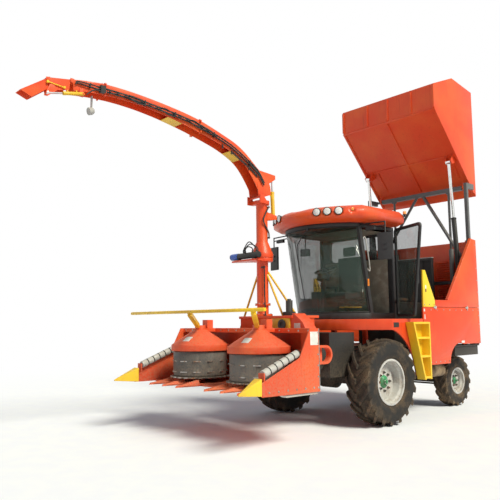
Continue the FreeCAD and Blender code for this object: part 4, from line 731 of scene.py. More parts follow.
def bolts(name, points, part, radius, height):
    """Zinc bolts on (point, way) seats."""
    if "bolts" not in TREES:
        TREES["bolts"] = bolt_tree()
    mesh = grown(seats(points), TREES["bolts"], {"Head radius": radius, "Head height": height,
                                                 "Material": FINISHES["zinc"]})
    settle(name, mesh, "zinc", part, smooth=SMOOTH_ANGLE)


# ---------------------------------------------------------------- carried-over parts
PLAIN_FINISH = {
    "chassis_frame": ("black_paint", 0.004), "axles": ("black_paint", 0.004),
    "knuckle_left": ("black_paint", 0.002), "knuckle_right": ("black_paint", 0.002),
    "tie_rod": ("black_paint", 0.002), "side_panels": ("orange_paint", 0.006),
    "yellow_gussets": ("yellow_paint", 0.004),
    "rear_wall": ("orange_paint", 0.003), "radiator_screen": ("black_paint", 0.003),
    "engine_block": ("black_paint", 0.01), "rear_mudguards": ("black_paint", 0.005),
    "fuel_tank": ("tank_brown", 0.01), "platform": ("orange_paint", 0.008), "ladder": ("yellow_paint", 0.003),
    "cab_frame": ("black_plastic", 0.008), "door_frame": ("black_plastic", 0.005),
    "mirrors": ("black_plastic", 0.004), "lift_frame": ("grey_paint", 0.004),
    "mast_guides": ("grey_paint", 0.003), "tank": ("tank_paint", 0.004), "tip_barrels": ("black_paint", 0.002),
    "tip_rods": ("rod_chrome", 0.001), "header_frame": ("header_paint", 0.004),
    "divider_tips": ("yellow_paint", 0.006), "side_rollers": ("silver_paint", 0.004),
    "drum_caps": ("header_paint", 0.004), "push_bar": ("yellow_paint", 0.003), "row_guards": ("header_paint", 0.004),
    "drum_left": ("drum_paint", 0.003), "drum_right": ("drum_paint", 0.003),
    "header_barrels": ("black_paint", 0.002), "header_rods": ("rod_chrome", 0.001),
    "chopper_housing": ("header_paint", 0.006), "feed_motor": ("black_paint", 0.002),
    "chute_post": ("orange_paint", 0.004), "post_struts": ("yellow_paint", 0.002),
    "slew_tube": ("orange_paint", 0.003), "chute": ("orange_paint", 0.004),
    "flap_inner": ("orange_paint", 0.002), "flap_outer": ("orange_paint", 0.002),
    "flap_barrel": ("yellow_paint", 0.001), "flap_rod": ("rod_chrome", 0.0005),
    "chute_barrel": ("yellow_paint", 0.002), "chute_rod": ("rod_chrome", 0.001),
    "rim_front_left": ("rim_front", 0.003), "rim_front_right": ("rim_front", 0.003),
    "rim_rear_left": ("rim_rear", 0.002), "rim_rear_right": ("rim_rear", 0.002),
    "cab_roof": ("orange_paint", 0.0),
    "cab_glass": ("clear_glass", 0.0), "door_glass": ("clear_glass", 0.0),
}


def carried_parts():
    """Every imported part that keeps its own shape, with its edges rounded."""
    for node, (finish, width) in PLAIN_FINISH.items():
        dress(node, finish, width)


# ---------------------------------------------------------------- wheels
def lug_mesh(radius, half, height, step, side):
    """One curved chevron lug that runs from the middle of the tread to the shoulder."""
    work = bmesh.new()
    rings = []
    rows = 6
    for t in [i / rows for i in range(rows + 1)]:
        x = side * (0.006 + (half * 0.97 - 0.006) * t)
        sweep = step * (0.85 * t + 0.2 * t * t)
        wide = 0.4 * step * (0.8 + 0.32 * t * t)
        base = radius - 2.3 * height - 1.3 * height * t ** 3
        top = radius - height * 0.62 * t ** 3
        brow = top - 0.1 * height
        ring = [(sweep + wide * (0.5 + share), r) for share, r in ((-0.62, base), (-0.4, brow), (-0.32, top),
                                                                   (0.32, top), (0.4, brow), (0.62, base))]
        rings.append([work.verts.new((x, r * math.sin(a), r * math.cos(a))) for a, r in ring])
    skinned(work, rings)
    bmesh.ops.recalc_face_normals(work, faces=work.faces[:])
    return mesh_of(work, "lug")


def wheel_tree():
    """Copies of one shape spaced evenly round the X axis."""
    t = Tree("round_the_wheel")
    count, start = t.size("Count", 18, "NodeSocketInt"), t.size("Start angle", 0.0)
    material = t.size("Material", None, "NodeSocketMaterial")
    line = t.node("GeometryNodeMeshLine", {}, {"Count": count, "Offset": (0.0, 0.0, 0.0)})
    points = t.node("GeometryNodeMeshToPoints", {}, {"Mesh": line})
    step = t.maths("DIVIDE", 2 * math.pi, count)
    angle = t.maths("MULTIPLY_ADD", t.node("GeometryNodeInputIndex"), step, start)
    turn = t.node("FunctionNodeEulerToRotation", {}, {0: t.node("ShaderNodeCombineXYZ", {}, {0: angle})})
    return t.copies(points, t.source.outputs["Geometry"], turn, material)


def join(name, meshes, shift=(0, 0, 0)):
    """Several meshes as one, moved by shift."""
    work = bmesh.new()
    for mesh in meshes:
        work.from_mesh(mesh)
    bmesh.ops.translate(work, verts=work.verts, vec=Vector(shift))
    return mesh_of(work, name)


def tyre(word, end, side, w):
    """A carcass turned from its profile, with two rows of lugs set half a step apart."""
    half, rim = w["width"] / 2, w["rim"]
    tread = w["radius"] - w["lug"]
    wall = tread - rim
    right = [(0.72, rim - 0.008), (0.8, rim + 0.012), (0.82, rim + 0.03), (0.9, rim + 0.045), (0.91, rim + 0.06),
             (0.93, rim + 0.064), (0.965, rim + 0.36 * wall), (0.985, rim + 0.4 * wall), (0.99, rim + 0.44 * wall),
             (0.98, rim + 0.5 * wall), (0.988, rim + 0.62 * wall), (0.97, rim + 0.75 * wall),
             (0.93, tread - 0.13 * wall), (0.86, tread - 0.065 * wall), (0.7, tread - 0.02 * wall), (0.4, tread),
             (0.0, tread + 0.001)]
    right = [(half * share, r) for share, r in right]
    profile = right + [(-x, r) for x, r in reversed(right[:-1])]
    stock = Stock()
    stock.lathe(profile + [profile[0]], (0, 0, 0), (1, 0, 0), 96)
    bmesh.ops.remove_doubles(stock.work, verts=stock.work.verts, dist=WELD / 2)
    meshes = [stock.mesh()]
    step = 2 * math.pi / w["lugs"]
    if "wheel" not in TREES:
        TREES["wheel"] = wheel_tree()
    for way, start in ((1, 0.0), (-1, step / 2)):
        meshes.append(grown(lug_mesh(w["radius"], half, w["lug"], step, way), TREES["wheel"],
                            {"Count": w["lugs"], "Start angle": start, "Material": FINISHES["tyre_" + end]}))
    mesh = join("tyre", meshes, (side * (w["outer"] - half), *w["centre"]))
    settle("tyre_%s_rubber" % word, mesh, "tyre_" + end, "rim_" + word, ["tyre_" + word], 30.0)


def wheel_trim(word, end, s, w):
    """Stud ends with nuts and washers, a hub cap with its bolts, and a tyre valve."""
    (cy, cz), hub = w["centre"], w["hub"]
    disc = w["outer"] - w["inset"]
    stock = Stock()
    for u, v in around(w["studs"], w["circle"] / 2):
        for start, end_x, r, sides in ((0.022, 0.04, 0.0075, 10), (-0.001, 0.004, 0.022, 16),
                                       (0.0, 0.025, 0.0185, 6)):
            stock.rod((s * (disc + start), cy + u, cz + v), (s * (disc + end_x), cy + u, cz + v), r, sides)
    valve_y, valve_z = cy + 0.01, cz + w["rim"]
    stock.rod((s * (disc + 0.02), valve_y, valve_z - 0.05), (s * (disc + 0.055), valve_y, valve_z - 0.058), 0.005, 8)
    stock.done("studs_" + word, "cast_steel", "rim_" + word)
    cap = Stock()
    cap.lathe([(0.0, hub * 0.52), (0.01, hub * 0.52), (0.016, hub * 0.47), (0.016, hub * 0.3), (0.03, hub * 0.26),
               (0.034, hub * 0.14), (0.034, TIP)], (s * (disc + 0.033), cy, cz), (s, 0, 0), 40)
    cap.done("hub_cap_" + word, "rim_" + end, "rim_" + word, 0.0012)
    ring = around(6, hub * 0.4, math.pi / 6)
    bolts("hub_bolts_" + word, [((s * (disc + 0.049), cy + u, cz + v), (s, 0, 0)) for u, v in ring],
          "rim_" + word, 0.007, 0.006)


def wheels():
    """All four tyres, then their wheels' studs, caps and bolts."""
    for s, side in ((1, "left"), (-1, "right")):
        for build in (tyre, wheel_trim):
            for end, sizes in WHEELS.items():
                build("%s_%s" % (end, side), end, s, sizes)


# ---------------------------------------------------------------- cab
def screen_y(x, z, inset=0.0):
    """The y of the windscreen's outer face at a given x and z, moved forward by inset."""
    share = (z - SCREEN_Z0) / (SCREEN_Z1 - SCREEN_Z0)
    end = SCREEN_FOOT + (SCREEN_HEAD - SCREEN_FOOT) * share
    nose = end - SCREEN_BOW
    radius = (SCREEN_HALF ** 2 + (end - nose) ** 2) / (2 * (end - nose))
    return nose + radius - math.sqrt(radius ** 2 - x ** 2) - inset


def on_screen(points, inset):
    """(x, z) points laid on the windscreen, moved forward by inset."""
    return [(x, screen_y(x, z, inset), z) for x, z in points]


def cab_seals():
    """Rubber seals round the windscreen and the rear window."""
    seal = Stock()
    xs = [SCREEN_HALF * (k / 10 - 1) * 0.999 for k in range(21)]
    for z in (SCREEN_Z0 + 0.012, SCREEN_Z1 - 0.01):
        seal.tube([(x, screen_y(x, z, 0.002), z) for x in xs], 0.011, 8)
    for s in (-1, 1):
        seal.tube([(s * 0.762, SCREEN_FOOT - 0.008, 1.712), (s * 0.762, SCREEN_HEAD, 3.06)], 0.01, 8)
    corner = []
    for cx, cz, start in ((0.48, 2.93, 0), (-0.48, 2.93, 1), (-0.48, 2.72, 2), (0.48, 2.72, 3)):
        corner += [(cx + 0.092 * math.cos(a), 0.789, cz + 0.092 * math.sin(a))
                   for a in [(start + k / 5) * math.pi / 2 for k in range(6)]]
    seal.tube(corner, 0.01, 8, True)
    seal.done("cab_seals", "seal_rubber")


def windscreen_wiper():
    """The wiper with its motor boss, and the yellow strip at the screen's foot."""
    wiper = Stock()
    wiper.rod((0.11, screen_y(0.11, 3.055, -0.004), 3.055), (0.11, screen_y(0.11, 3.055, 0.04), 3.055), 0.02, 16)
    wiper.tube(on_screen([(0.11, 3.05), (-0.02, 2.95), (-0.17, 2.82)], 0.034), 0.007, 8)
    wiper.tube(on_screen([(-0.17, 2.82), (-0.2, 2.62), (-0.222, 2.41)], 0.026), 0.006, 8)
    wiper.tube(on_screen([(-0.245 + 0.045 * k / 12, 2.9 - 0.98 * k / 12) for k in range(13)], 0.011), 0.007, 8)
    wiper.done("wiper", "black_plastic")
    strip = Stock()
    strip.tube(on_screen([(0.42 + 0.27 * k / 8, 1.79) for k in range(9)], -0.026), 0.011, 8)
    strip.done("screen_foot_strip", "yellow_paint")


def grab_bar():
    """The bar beside the door."""
    rail = Stock()
    low, high = Vector((0.786, 0.125, 2.4)), Vector((0.786, 0.034, 2.88))
    rail.hose([low + Vector((-0.01, -0.06, 0.0)), low, high, high + Vector((-0.01, -0.06, 0.0))], 0.01, 6, 12)
    rail.done("grab_bar", "silver_paint")


def mirror_fittings():
    """Mirror glass, clamps and brackets on both sides."""
    glass, frame_bars = Stock(), Stock()
    turn = Matrix.Rotation(math.radians(12.0), 3, "Z")
    for s in (1, -1):
        t = turn if s > 0 else turn.inverted()
        mid = Vector((s * 1.22, -0.05, 2.72))
        glass.box(mid + Vector((-0.105, 0.0135, -0.195)), mid + Vector((0.105, 0.0165, 0.195)), t, mid)
        for z in (2.76, 2.68):
            level = mid + Vector((0, 0, z - mid.z))
            frame_bars.box(level + Vector((-0.03, -0.03, -0.012)), level + Vector((0.03, -0.012, 0.012)), t, mid)
        frame_bars.tube([(s * 0.795, -0.122, 3.045), (s * 1.05, -0.092, 3.045), (s * 1.222, -0.062, 3.038)], 0.01)
        frame_bars.box((s * 1.0 - 0.085, -0.135, 2.985), (s * 1.0 + 0.085, -0.085, 3.035))
    glass.done("mirror_glass", "mirror_silver", width=0.001)
    frame_bars.done("mirror_brackets", "black_plastic", width=0.003)


def cab_boxes():
    """Small boxes behind the windscreen."""
    box = Stock()
    box.box((-0.52, -0.11, 2.7), (-0.36, -0.02, 2.82))
    box.rod((-0.44, -0.06, 2.82), (-0.44, -0.05, 3.075), 0.01, 10)
    box.box((0.5, 0.08, 1.9), (0.735, 0.15, 1.945))
    box.done("cab_boxes", "black_plastic", width=0.006)


def cab_trim():
    """Seals, wiper, grab bar, mirror glass and brackets, and the strips round the screen."""
    for build in (cab_seals, windscreen_wiper, grab_bar, mirror_fittings, cab_boxes):
        build()


def driver_seat():
    """Three swelled cushions."""
    cushion = Stock()
    z = SEAT_Z
    shapes = [((-0.245, 0.15, z), (0.245, 0.62, z + 0.125)), ((-0.235, 0.548, z + 0.105), (0.235, 0.65, z + 0.75)),
              ((-0.13, 0.565, z + 0.77), (0.13, 0.64, z + 0.935))]
    for low, high in shapes:
        cushion.box(low, high)
    mesh = cushion.mesh()
    holder = put_in_scene("cushions", mesh)
    bevel = holder.modifiers.new("Bevel", "BEVEL")
    bevel.width, bevel.segments = 0.034, 4
    sub = holder.modifiers.new("Subdivision", "SUBSURF")
    sub.levels = sub.render_levels = 1
    mesh = made_real(holder)
    swells = ((1, 2, 1, 0.018), (2, 1, -1, 0.014), (2, 1, -1, 0.014))
    for v in mesh.vertices:
        for (low, high), (across, out, way, full) in zip(shapes, swells):
            if all(low[i] - 1e-4 <= v.co[i] <= high[i] + 1e-4 for i in range(3)):
                u, w = (2 * (v.co[i] - low[i]) / (high[i] - low[i]) - 1 for i in (0, across))
                if way * (v.co[out] - (low[out] + high[out]) / 2) > 0:
                    seam = 0.006 * math.exp(-((u * 4) ** 2 - 3.2) ** 2)
                    v.co[out] += way * (full * (1 - u * u) * (1 - w * w) - seam)
                break
    seat = settle("driver_seat", mesh, "seat_cloth", "root", ["seat_and_wheel"], 60.0)


def seat_base():
    """The seat's base and arms, the steering column and the side console with its levers."""
    base = Stock()
    base.box((-0.06, 0.33, 1.63), (0.06, 0.47, 1.925))
    base.box((-0.19, 0.18, 1.88), (0.19, 0.56, 1.928))
    for s in (-1, 1):
        base.box((s * 0.285 - 0.025, 0.3, 2.14), (s * 0.285 + 0.025, 0.56, 2.175))
        base.box((s * 0.285 - 0.014, 0.53, 1.96), (s * 0.285 + 0.014, 0.57, 2.16))
    base.rod((0, -0.171, 1.632), (0, -0.06, 2.385), 0.04, 20, 0.03)
    base.box((-0.11, -0.15, 2.25), (0.11, -0.06, 2.36), Matrix.Rotation(math.radians(-20), 3, "X"), (0, -0.1, 2.3))
    base.box((-0.47, 0.1, 1.63), (-0.33, 0.68, 2.08))
    for k in range(4):
        base.rod((-0.4, 0.16 + 0.07 * k, 2.08), (-0.4, 0.14 + 0.07 * k, 2.19), 0.007, 8)
        base.rod((-0.4, 0.14 + 0.07 * k, 2.18), (-0.4, 0.135 + 0.07 * k, 2.215), 0.015, 12, 0.01)
    base.done("seat_base_and_console", "black_plastic", width=0.006)


def cab_lining():
    """Pale lining on the cab's rear wall and ceiling."""
    lining = Stock()
    lining.box((-0.69, 0.742, 1.64), (0.69, 0.7485, 2.615))
    lining.box((-0.66, -0.02, 3.052), (0.66, 0.7485, 3.058))
    lining.done("cab_lining", "lining_beige", width=0.001)


def steering_wheel():
    """The rim, three spokes and the hub."""
    wheel = Stock()
    turn = Matrix.Rotation(math.radians(20), 3, "X")
    mid = Vector((0, -0.056, 2.418))
    wheel.tube([mid + turn @ Vector((u, v, 0)) for u, v in around(40, 0.176)], 0.0125, 12, True)
    for u, v in around(3, 0.17, math.pi / 2):
        wheel.tube([mid, mid + turn @ Vector((u, v, 0))], 0.01, 8)
    wheel.lathe([(-0.02, 0.038), (0.01, 0.04), (0.018, 0.03), (0.02, 0.001)], mid, turn @ UP, 24)
    wheel.done("steering_wheel", "black_plastic")


def cab_inside():
    """Seat, steering column and wheel, side console and a blank instrument panel."""
    for build in (driver_seat, seat_base, cab_lining, steering_wheel):
        build()


def roof_edge(x, z):
    """A point on the roof's curved front edge, and the way that it faces."""
    radius = (ROOF_HALF ** 2 + ROOF_RISE ** 2) / (2 * ROOF_RISE)
    out = Vector((x, -math.sqrt(radius ** 2 - x ** 2), 0))
    return Vector((x, ROOF_NOSE + radius, z)) + Vector((0, out.y, 0)), out.normalized()


def roof_lamps():
    """Six round lamps along the roof's curved front edge."""
    bezels, glass, bowls = Stock(), Stock(), Stock()
    for x in ROOF_LAMP_XS:
        face, out = roof_edge(x, ROOF_LAMP_Z)
        face += out * 0.006
        r = ROOF_LAMP_R
        bezels.lathe([(-0.02, r * 0.96), (0.004, r * 1.02), (0.006, r * 1.1), (0.002, r * 1.14), (-0.004, r * 1.14),
                      (-0.02, r * 1.02)], face, out, 32)
        r = ROOF_LAMP_R * 0.95
        glass.lathe([(-0.004, TIP), (-0.004, r), (0.001, r), (0.007, r * 0.82), (0.01, r * 0.45), (0.011, TIP)],
                    face, out, 32)
        bowls.lathe([(-0.038, TIP), (-0.038, r), (-0.005, r), (-0.005, r * 0.97), (-0.034, r * 0.3), (-0.034, TIP)],
                    face, out, 24)
    bezels.done("lamp_bezels", "seal_rubber")
    glass.done("roof_lamp_glass", "lamp_lens", replaces=["roof_lamps"], smooth=50.0)
    bowls.done("lamp_bowls", "black_plastic")


def amber_markers():
    """Amber marker lamps and the beacon's dome."""
    amber = Stock()
    for x in (-MARKER_X, MARKER_X):
        amber.lathe([(-0.018, TIP), (-0.018, 0.026), (0.002, 0.026), (0.009, 0.019), (0.011, TIP)],
                    *roof_edge(x, ROOF_LAMP_Z + 0.02), 28)
    amber.lathe([(3.336, 0.03), (3.38, 0.028), (3.392, 0.018), (3.395, TIP)], BEACON, UP, 24)
    amber.box((0.8005, 0.03, 2.125), (0.814, 0.062, 2.235))
    amber.done("amber_markers", "amber_lens", replaces=["marker_lamps"], smooth=40.0)


def beacon_base():
    """The beacon's stem, base and foot."""
    base = Stock()
    base.lathe([(3.306, 0.014), (3.32, 0.014), (3.32, 0.031), (3.336, 0.031), (3.338, 0.03)], BEACON, UP, 24)
    base.box((1.0, 0.793, 3.294), (1.035, 0.837, 3.306))
    base.done("beacon_base", "black_plastic", width=0.0015)


def roof_details():
    """Lamps with bezels, markers and the beacon."""
    for build in (roof_lamps, amber_markers, beacon_base):
        build()


# ---------------------------------------------------------------- hoses
def chute_side(reach, z, dx=0.028):
    """A point beside the chute's left wall, from its reach ahead of the post and its height."""
    return Vector((POST.x + CHUTE_HALF + dx, POST.y - reach, z))


def side_block(stock, reach, z, wide, back, front, low, high):
    """A block that stands out from the chute's left wall at a reach and height."""
    wall = chute_side(reach, z, 0.0)
    stock.box(wall + Vector((0, -front, -low)), wall + Vector((wide, back, high)))


def supply_hoses():
    """The two main hoses along the chute, with spiral guards where they rub."""
    run = Stock()
    for dx, dz in SUPPLY_LINES:
        run.hose([chute_side(reach, z + dz, dx) for reach, z in CHUTE_HOSE], 0.011, 7, 12)
    sags = ((0.12, 0.002), (0.37, 0.004), (0.62, 0.004), (0.88, 0.002))
    for first in (8, 4, 1):
        (r0, z0), (r1, z1) = CHUTE_HOSE[first:first + 2]
        for dx, dz in SUPPLY_LINES:
            wrapped(run, [chute_side(r0 + (r1 - r0) * t, z0 + (z1 - z0) * t + dz + sag, dx) for t, sag in sags],
                    0.0128)
    run.done("chute_hoses", "hose_rubber", "chute", replaces=["chute_fittings"], smooth=60.0)


def thin_hoses():
    """Thin lines along the chute, loose ones beside them and the flap cylinder's feeds."""
    thin = Stock()
    for drop, start, end in ((0.04, 0.1, 1.06), (0.062, 0.13, 0.95)):
        points = [chute_side(reach, z - drop, 0.012) for reach, z in CHUTE_HOSE if start < reach < end + 0.2]
        thin.hose(points[:-1], 0.0065)
    for rise, swing, phase, dx in ((-0.004, 0.026, 0.4, 0.05), (0.014, 0.03, 2.6, 0.044)):
        points = []
        for k in range(19):
            reach = 1.02 + 0.098 * k
            near = max(i for i, p in enumerate(CHUTE_HOSE) if p[0] <= reach)
            (r0, z0), (r1, z1) = CHUTE_HOSE[near], CHUTE_HOSE[min(near + 1, len(CHUTE_HOSE) - 1)]
            z = z0 + (z1 - z0) * (reach - r0) / max(r1 - r0, 0.001)
            points.append(chute_side(reach, z + rise + swing * math.sin(phase + 1.25 * k), dx))
        thin.hose(points, 0.0065, 5, 8)
    for dz in (0.0, 0.034):
        thin.hose([chute_side(2.9, 4.505 + dz), chute_side(3.04, 4.512 + dz), chute_side(3.2, 4.52 + dz * 0.6),
                   chute_side(3.232, 4.5 + dz * 0.6, 0.026)], 0.009)
    for k in range(2):
        thin.hose([chute_side(2.905, 4.49 + 0.03 * k, 0.04), chute_side(2.985, 4.478, 0.044 + 0.012 * k),
                   chute_side(3.045, 4.44, 0.042 + 0.018 * k), chute_side(3.085, 4.4, 0.036 + 0.02 * k)], 0.0075)
    thin.done("chute_thin_hoses", "hose_rubber", "chute")


def valve_and_clips():
    """The valve block, crimped ends and hose clips on the chute."""
    metal = Stock()
    for reach, z in CHUTE_HOSE[2:9:2]:
        side_block(metal, reach, z, 0.046, 0.009, 0.009, 0.017, 0.053)
    reach, z = CHUTE_HOSE[-1]
    y = POST.y - reach
    side_block(metal, reach, z, 0.062, 0.005, 0.065, 0.03, 0.06)
    for dx, dz in SUPPLY_LINES:
        side = POST.x + CHUTE_HALF + dx
        metal.rod((side, y + 0.005, z + dz), (side, y + 0.05, z + dz - 0.004), 0.0145, 12)
        metal.rod((side, y - 0.065, z + dz), (side, y - 0.095, z + dz), 0.0125, 6)
    side_block(metal, 3.03, 4.5, 0.04, 0.0, 0.015, 0.0, 0.06)
    for reach, z in ((0.36, 3.908), (0.71, 4.09), (0.885, 4.15)):
        side_block(metal, reach, z, 0.022, 0.008, 0.008, 0.02, 0.04)
    metal.done("chute_valve_and_clips", "black_paint", "chute", 0.002)


def chute_lamp():
    """The work lamp that hangs under the chute."""
    lamp_y = POST.y - 2.95
    lamp = Stock()
    lamp.box((POST.x - 0.02, lamp_y - 0.006, 4.285), (POST.x + 0.02, lamp_y + 0.006, 4.452))
    along = Vector((0, -0.07, -0.022)).normalized()
    lamp.lathe([(-0.036, 0.012), (-0.034, 0.034), (-0.006, 0.048), (0.034, 0.049), (0.038, 0.046), (0.034, 0.044),
                (0.03, TIP)], (POST.x, lamp_y - 0.005, 4.251), along, 28)
    lamp.done("chute_lamp", "silver_paint", "chute", 0.001)


def slew_hose():
    """The hose down the slewing tube, with its two clips."""
    tube_line = Stock()
    tube_line.hose([POST + Vector(p) for p in ((0.103, 0.06, 3.37), (0.106, -0.03, 3.23), (0.104, -0.06, 3.12),
                                               (0.106, 0.04, 2.96), (0.108, 0.05, 2.86))], 0.011, 8, 12)
    for low, high in (((0.06, 0.036, 2.864), (0.116, 0.062, 2.884)), ((0.056, 0.044, 3.35), (0.112, 0.07, 3.368))):
        tube_line.box(POST + Vector(low), POST + Vector(high))
    tube_line.done("tube_hose_round", "hose_rubber", "slew_tube", replaces=["tube_hose"], smooth=40.0)


def motor_hoses():
    """Hose loops over the feed motor, and its end cap."""
    loops = Stock()
    for k, (a, b, high) in enumerate(((-0.33, -0.04, 2.8), (-0.29, 0.01, 2.76), (-0.25, -0.09, 2.72))):
        y = -1.596 - 0.016 * k
        loops.hose([(a, y, 2.63), (a + 0.004, y, 2.69), ((a + b) / 2, y - 0.012, high), (b - 0.004, y, 2.69),
                    (b, y, 2.63)], 0.0085)
        for x in (a, b):
            loops.rod((x, y, 2.626), (x, y, 2.66), 0.0125, 6)
    loops.done("motor_hoses", "hose_rubber", smooth=60.0)
    cap = Stock()
    cap.lathe([(0.0, 0.0485), (0.0, 0.0515), (0.15, 0.0515), (0.168, 0.046), (0.172, 0.03), (0.172, TIP)],
              (-0.434, -1.601, 2.59), (-1, 0, 0), 32)
    cap.done("motor_cap", "blue_cap", smooth=40.0)


def hose_runs():
    """Hydraulic hoses with spiral guards, crimped ends and clips, on the same routes as their solids."""
    for build in (supply_hoses, thin_hoses, valve_and_clips, chute_lamp, slew_hose, motor_hoses):
        build()


# ---------------------------------------------------------------- fasteners and small plates
def chute_plates():
    """Blank yellow plates that bridge the chute's underside."""
    plates = Stock()
    half = CHUTE_HALF - 0.004
    for near, far in ((0.531, 0.729), (1.611, 1.848)):
        edge = []
        for y in [POST.y - near + (near - far) * k / 8 for k in range(9)]:
            hit = surface_of("chute").ray_cast(Vector((POST.x + half, y, 3.2)), UP)[0]
            edge.append((POST.x - half, y, hit.z))
        plates.prism([(x, y, z - 0.003) for x, y, z in edge] + [(x, y, z + 0.001) for x, y, z in reversed(edge)],
                     (2 * half, 0, 0))
    plates.done("chute_plates", "yellow_paint", "chute")


def flange_lugs():
    """Lugs round the chute's two joints."""
    lugs = Stock()
    for reach, low, high in ((1.3, 4.262, 4.483), (2.82, 4.468, 4.628)):
        y = POST.y - reach
        for s in (-1, 1):
            x = POST.x + s * (CHUTE_HALF + 0.026)
            for z in (low + 0.035, high - 0.035):
                lugs.box((x - 0.015, y - 0.006, z - 0.018), (x + 0.015, y + 0.006, z + 0.018))
        lugs.box((POST.x - 0.03, y - 0.006, high - 0.004), (POST.x + 0.03, y + 0.006, high + 0.022))
    lugs.done("chute_flange_lugs", "orange_paint", "chute", 0.002)


def flap_link():
    """The link bar beside the inner flap."""
    link = Stock()
    a, b = Vector((POST.x + 0.101, POST.y - 3.575, 4.45)), Vector((POST.x + 0.101, POST.y - 3.364, 4.427))
    link.tube([a, b], 0.007, 10)
    for p in (a, b):
        link.rod(p - Vector((0.016, 0, 0)), p + Vector((0.012, 0, 0)), 0.015, 16)
    link.done("flap_link", "yellow_paint", "flap_inner", 0.001)


def chute_marks():
    """Blank yellow plates on the chute, its flange lugs and the flap's link bar."""
    for build in (chute_plates, flange_lugs, flap_link):
        build()


def cylinder_glands():
    """Gland rings and hose unions on the hydraulic cylinders."""
    py, pair = POST.y, (1, -1)
    rows = [
        ("header_barrels", "black_paint",
         [(s * 0.68, (-1.07, 0.91), (-1.65, 0.76), 0.44, 0.036, 0.02) for s in pair]),
        ("tip_barrels", "black_paint",
         [(s * 0.93, (2.655, 2.3), (2.475, 4.53), 1.18, 0.045, 0.028) for s in pair]),
        ("chute_barrel", "yellow_paint",
         [(POST.x, (py + 0.25, 3.22), (py + 0.226, 3.87), 0.42, 0.032, 0.016)]),
        ("flap_barrel", "yellow_paint",
         [(-0.008, (py - 3.145, 4.388), (py - 3.59, 4.294), 0.255, 0.022, 0.011)]),
    ]
    for node, finish, sizes in rows:
        stock = Stock()
        for x, base, eye, length, r, rod_r in sizes:
            a = Vector((x, *base))
            along = (Vector((x, *eye)) - a).normalized()
            gland(stock, a, along, length, r, rod_r)
            out = Vector((0, along.z, -along.y)) * (-1 if along.z > 0.5 else 1)
            for d in (0.075, length - 0.06):
                p = a + along * min(d, length * 0.3 if d < 0.1 else d)
                stock.rod(p + out * r * 0.9, p + out * (r + 0.02), 0.0095, 6)
        stock.done(node + "_glands", finish, node)


def tooth_tips():
    """Worn tips on the drums' toothed rings."""
    for s, word in ((1, "left"), (-1, "right")):
        tips = Stock()
        for root, tip, teeth, z0, z1 in TOOTH_ROWS:
            step = 2 * math.pi / teeth
            for i in range(teeth):
                hook = [(root + (tip - root) * 0.25, (i + 0.2) * step), (tip - 0.001, (i + 0.69) * step),
                        (root + 0.004, (i + 0.765) * step)]
                tips.prism([(s * (DRUM_X + r * math.cos(a)), DRUM_Y + r * math.sin(a), z0) for r, a in hook],
                           (0, 0, z1 - z0))
        tips.done("tooth_tips_" + word, "worn_steel", "drum_" + word)


def roller_groove_shade():
    """Black rings set in the grooves between the side rollers' ribs, as painted shade inside the grooves."""
    low, high = Vector(ROLLER_FOOT), Vector(ROLLER_HEAD)
    along = (high - low).normalized()
    end = 0.027
    pitch = ((high - low).length - 2 * end) / ROLLER_RIBS
    rings = Stock()
    for s in (1, -1):
        for i in range(ROLLER_RIBS):
            at = low + along * (end + pitch * (i + 1) - 0.014) + Vector((s * ROLLER_X, 0, 0))
            # a black ring in each groove stands in for the shade inside it: painted shade
            rings.lathe([(-0.0005, 0.039), (-0.0005, 0.0502), (0.0145, 0.0502), (0.0145, 0.039)], at, along, 28)
    rings.done("roller_groove_shade", "seal_rubber", "side_rollers")


def lifter_rods():
    """Bent rods under the row openings, with their clamps."""
    rods = Stock()
    for cx in ROW_CENTRES:
        for s in (-1, 1):
            rods.hose([(cx + s * 0.095, -2.47, 0.712), (cx + s * 0.085, -2.6, 0.706), (cx + s * 0.05, -2.76, 0.7),
                       (cx + s * 0.042, -2.84, 0.692)], 0.008, 5, 8)
            rods.box((cx + s * 0.095 - 0.016, -2.5, 0.69), (cx + s * 0.095 + 0.016, -2.47, 0.718))
    rods.done("lifter_rods", "header_paint", "header_frame")


def skids_and_signs():
    """Skids, blank plates and edge strips on the header's sides."""
    skids, signs, strips = Stock(), Stock(), Stock()
    for s in (1, -1):
        x0, x1 = sorted(s * x for x in SKID_X)
        skids.prism([(x0, -2.495, 0.678), (x0, -2.44, 0.648), (x0, -1.88, 0.648), (x0, -1.85, 0.678)],
                    (x1 - x0, 0, 0))
        x0, x1 = sorted(s * x for x in SIGN_X)
        signs.box((x0, -2.017, 1.27), (x1, -1.87, 1.44))
        strips.box((x0, -1.858, 0.7), (x1, -1.844, 1.478))
        facing = Vector((0.25, -1.0, 0)).normalized()
        side = Vector((-facing.y, facing.x, 0)) * 0.115
        corner = Vector((s * DRUM_X, DRUM_Y, 1.6)) + facing * 0.34 - side / 2
        laid_on(signs, "drum_caps", corner, side, -facing * 0.095, -UP, 0.0012, 8)
    skids.done("header_skids", "silver_paint", "header_frame", 0.004)
    signs.done("blank_signs", "plate_white", "header_frame")
    strips.done("header_edge_strips", "worn_steel", "header_frame", 0.0005)


def sleeves_and_welds():
    """Sleeves on the push bar's arms, and weld beads on the rear wall."""
    sleeves = Stock()
    for s in (1, -1):
        foot, head = Vector((s * DRUM_X + 0.04, -2.26, 1.505)), Vector((s * DRUM_X + 0.62, -2.866, 1.703))
        sleeves.bar(foot.lerp(head, 0.1), foot.lerp(head, 0.93), 0.06)
    sleeves.done("arm_sleeves", "yellow_paint", "push_bar", 0.004)
    weld = Stock()
    for x in (-1.13, 1.13):
        weld.tube([(x, -1.8625, 0.7), (x, -1.8625, 1.42)], 0.004, 8)
    weld.done("header_welds", "header_paint", "header_frame")


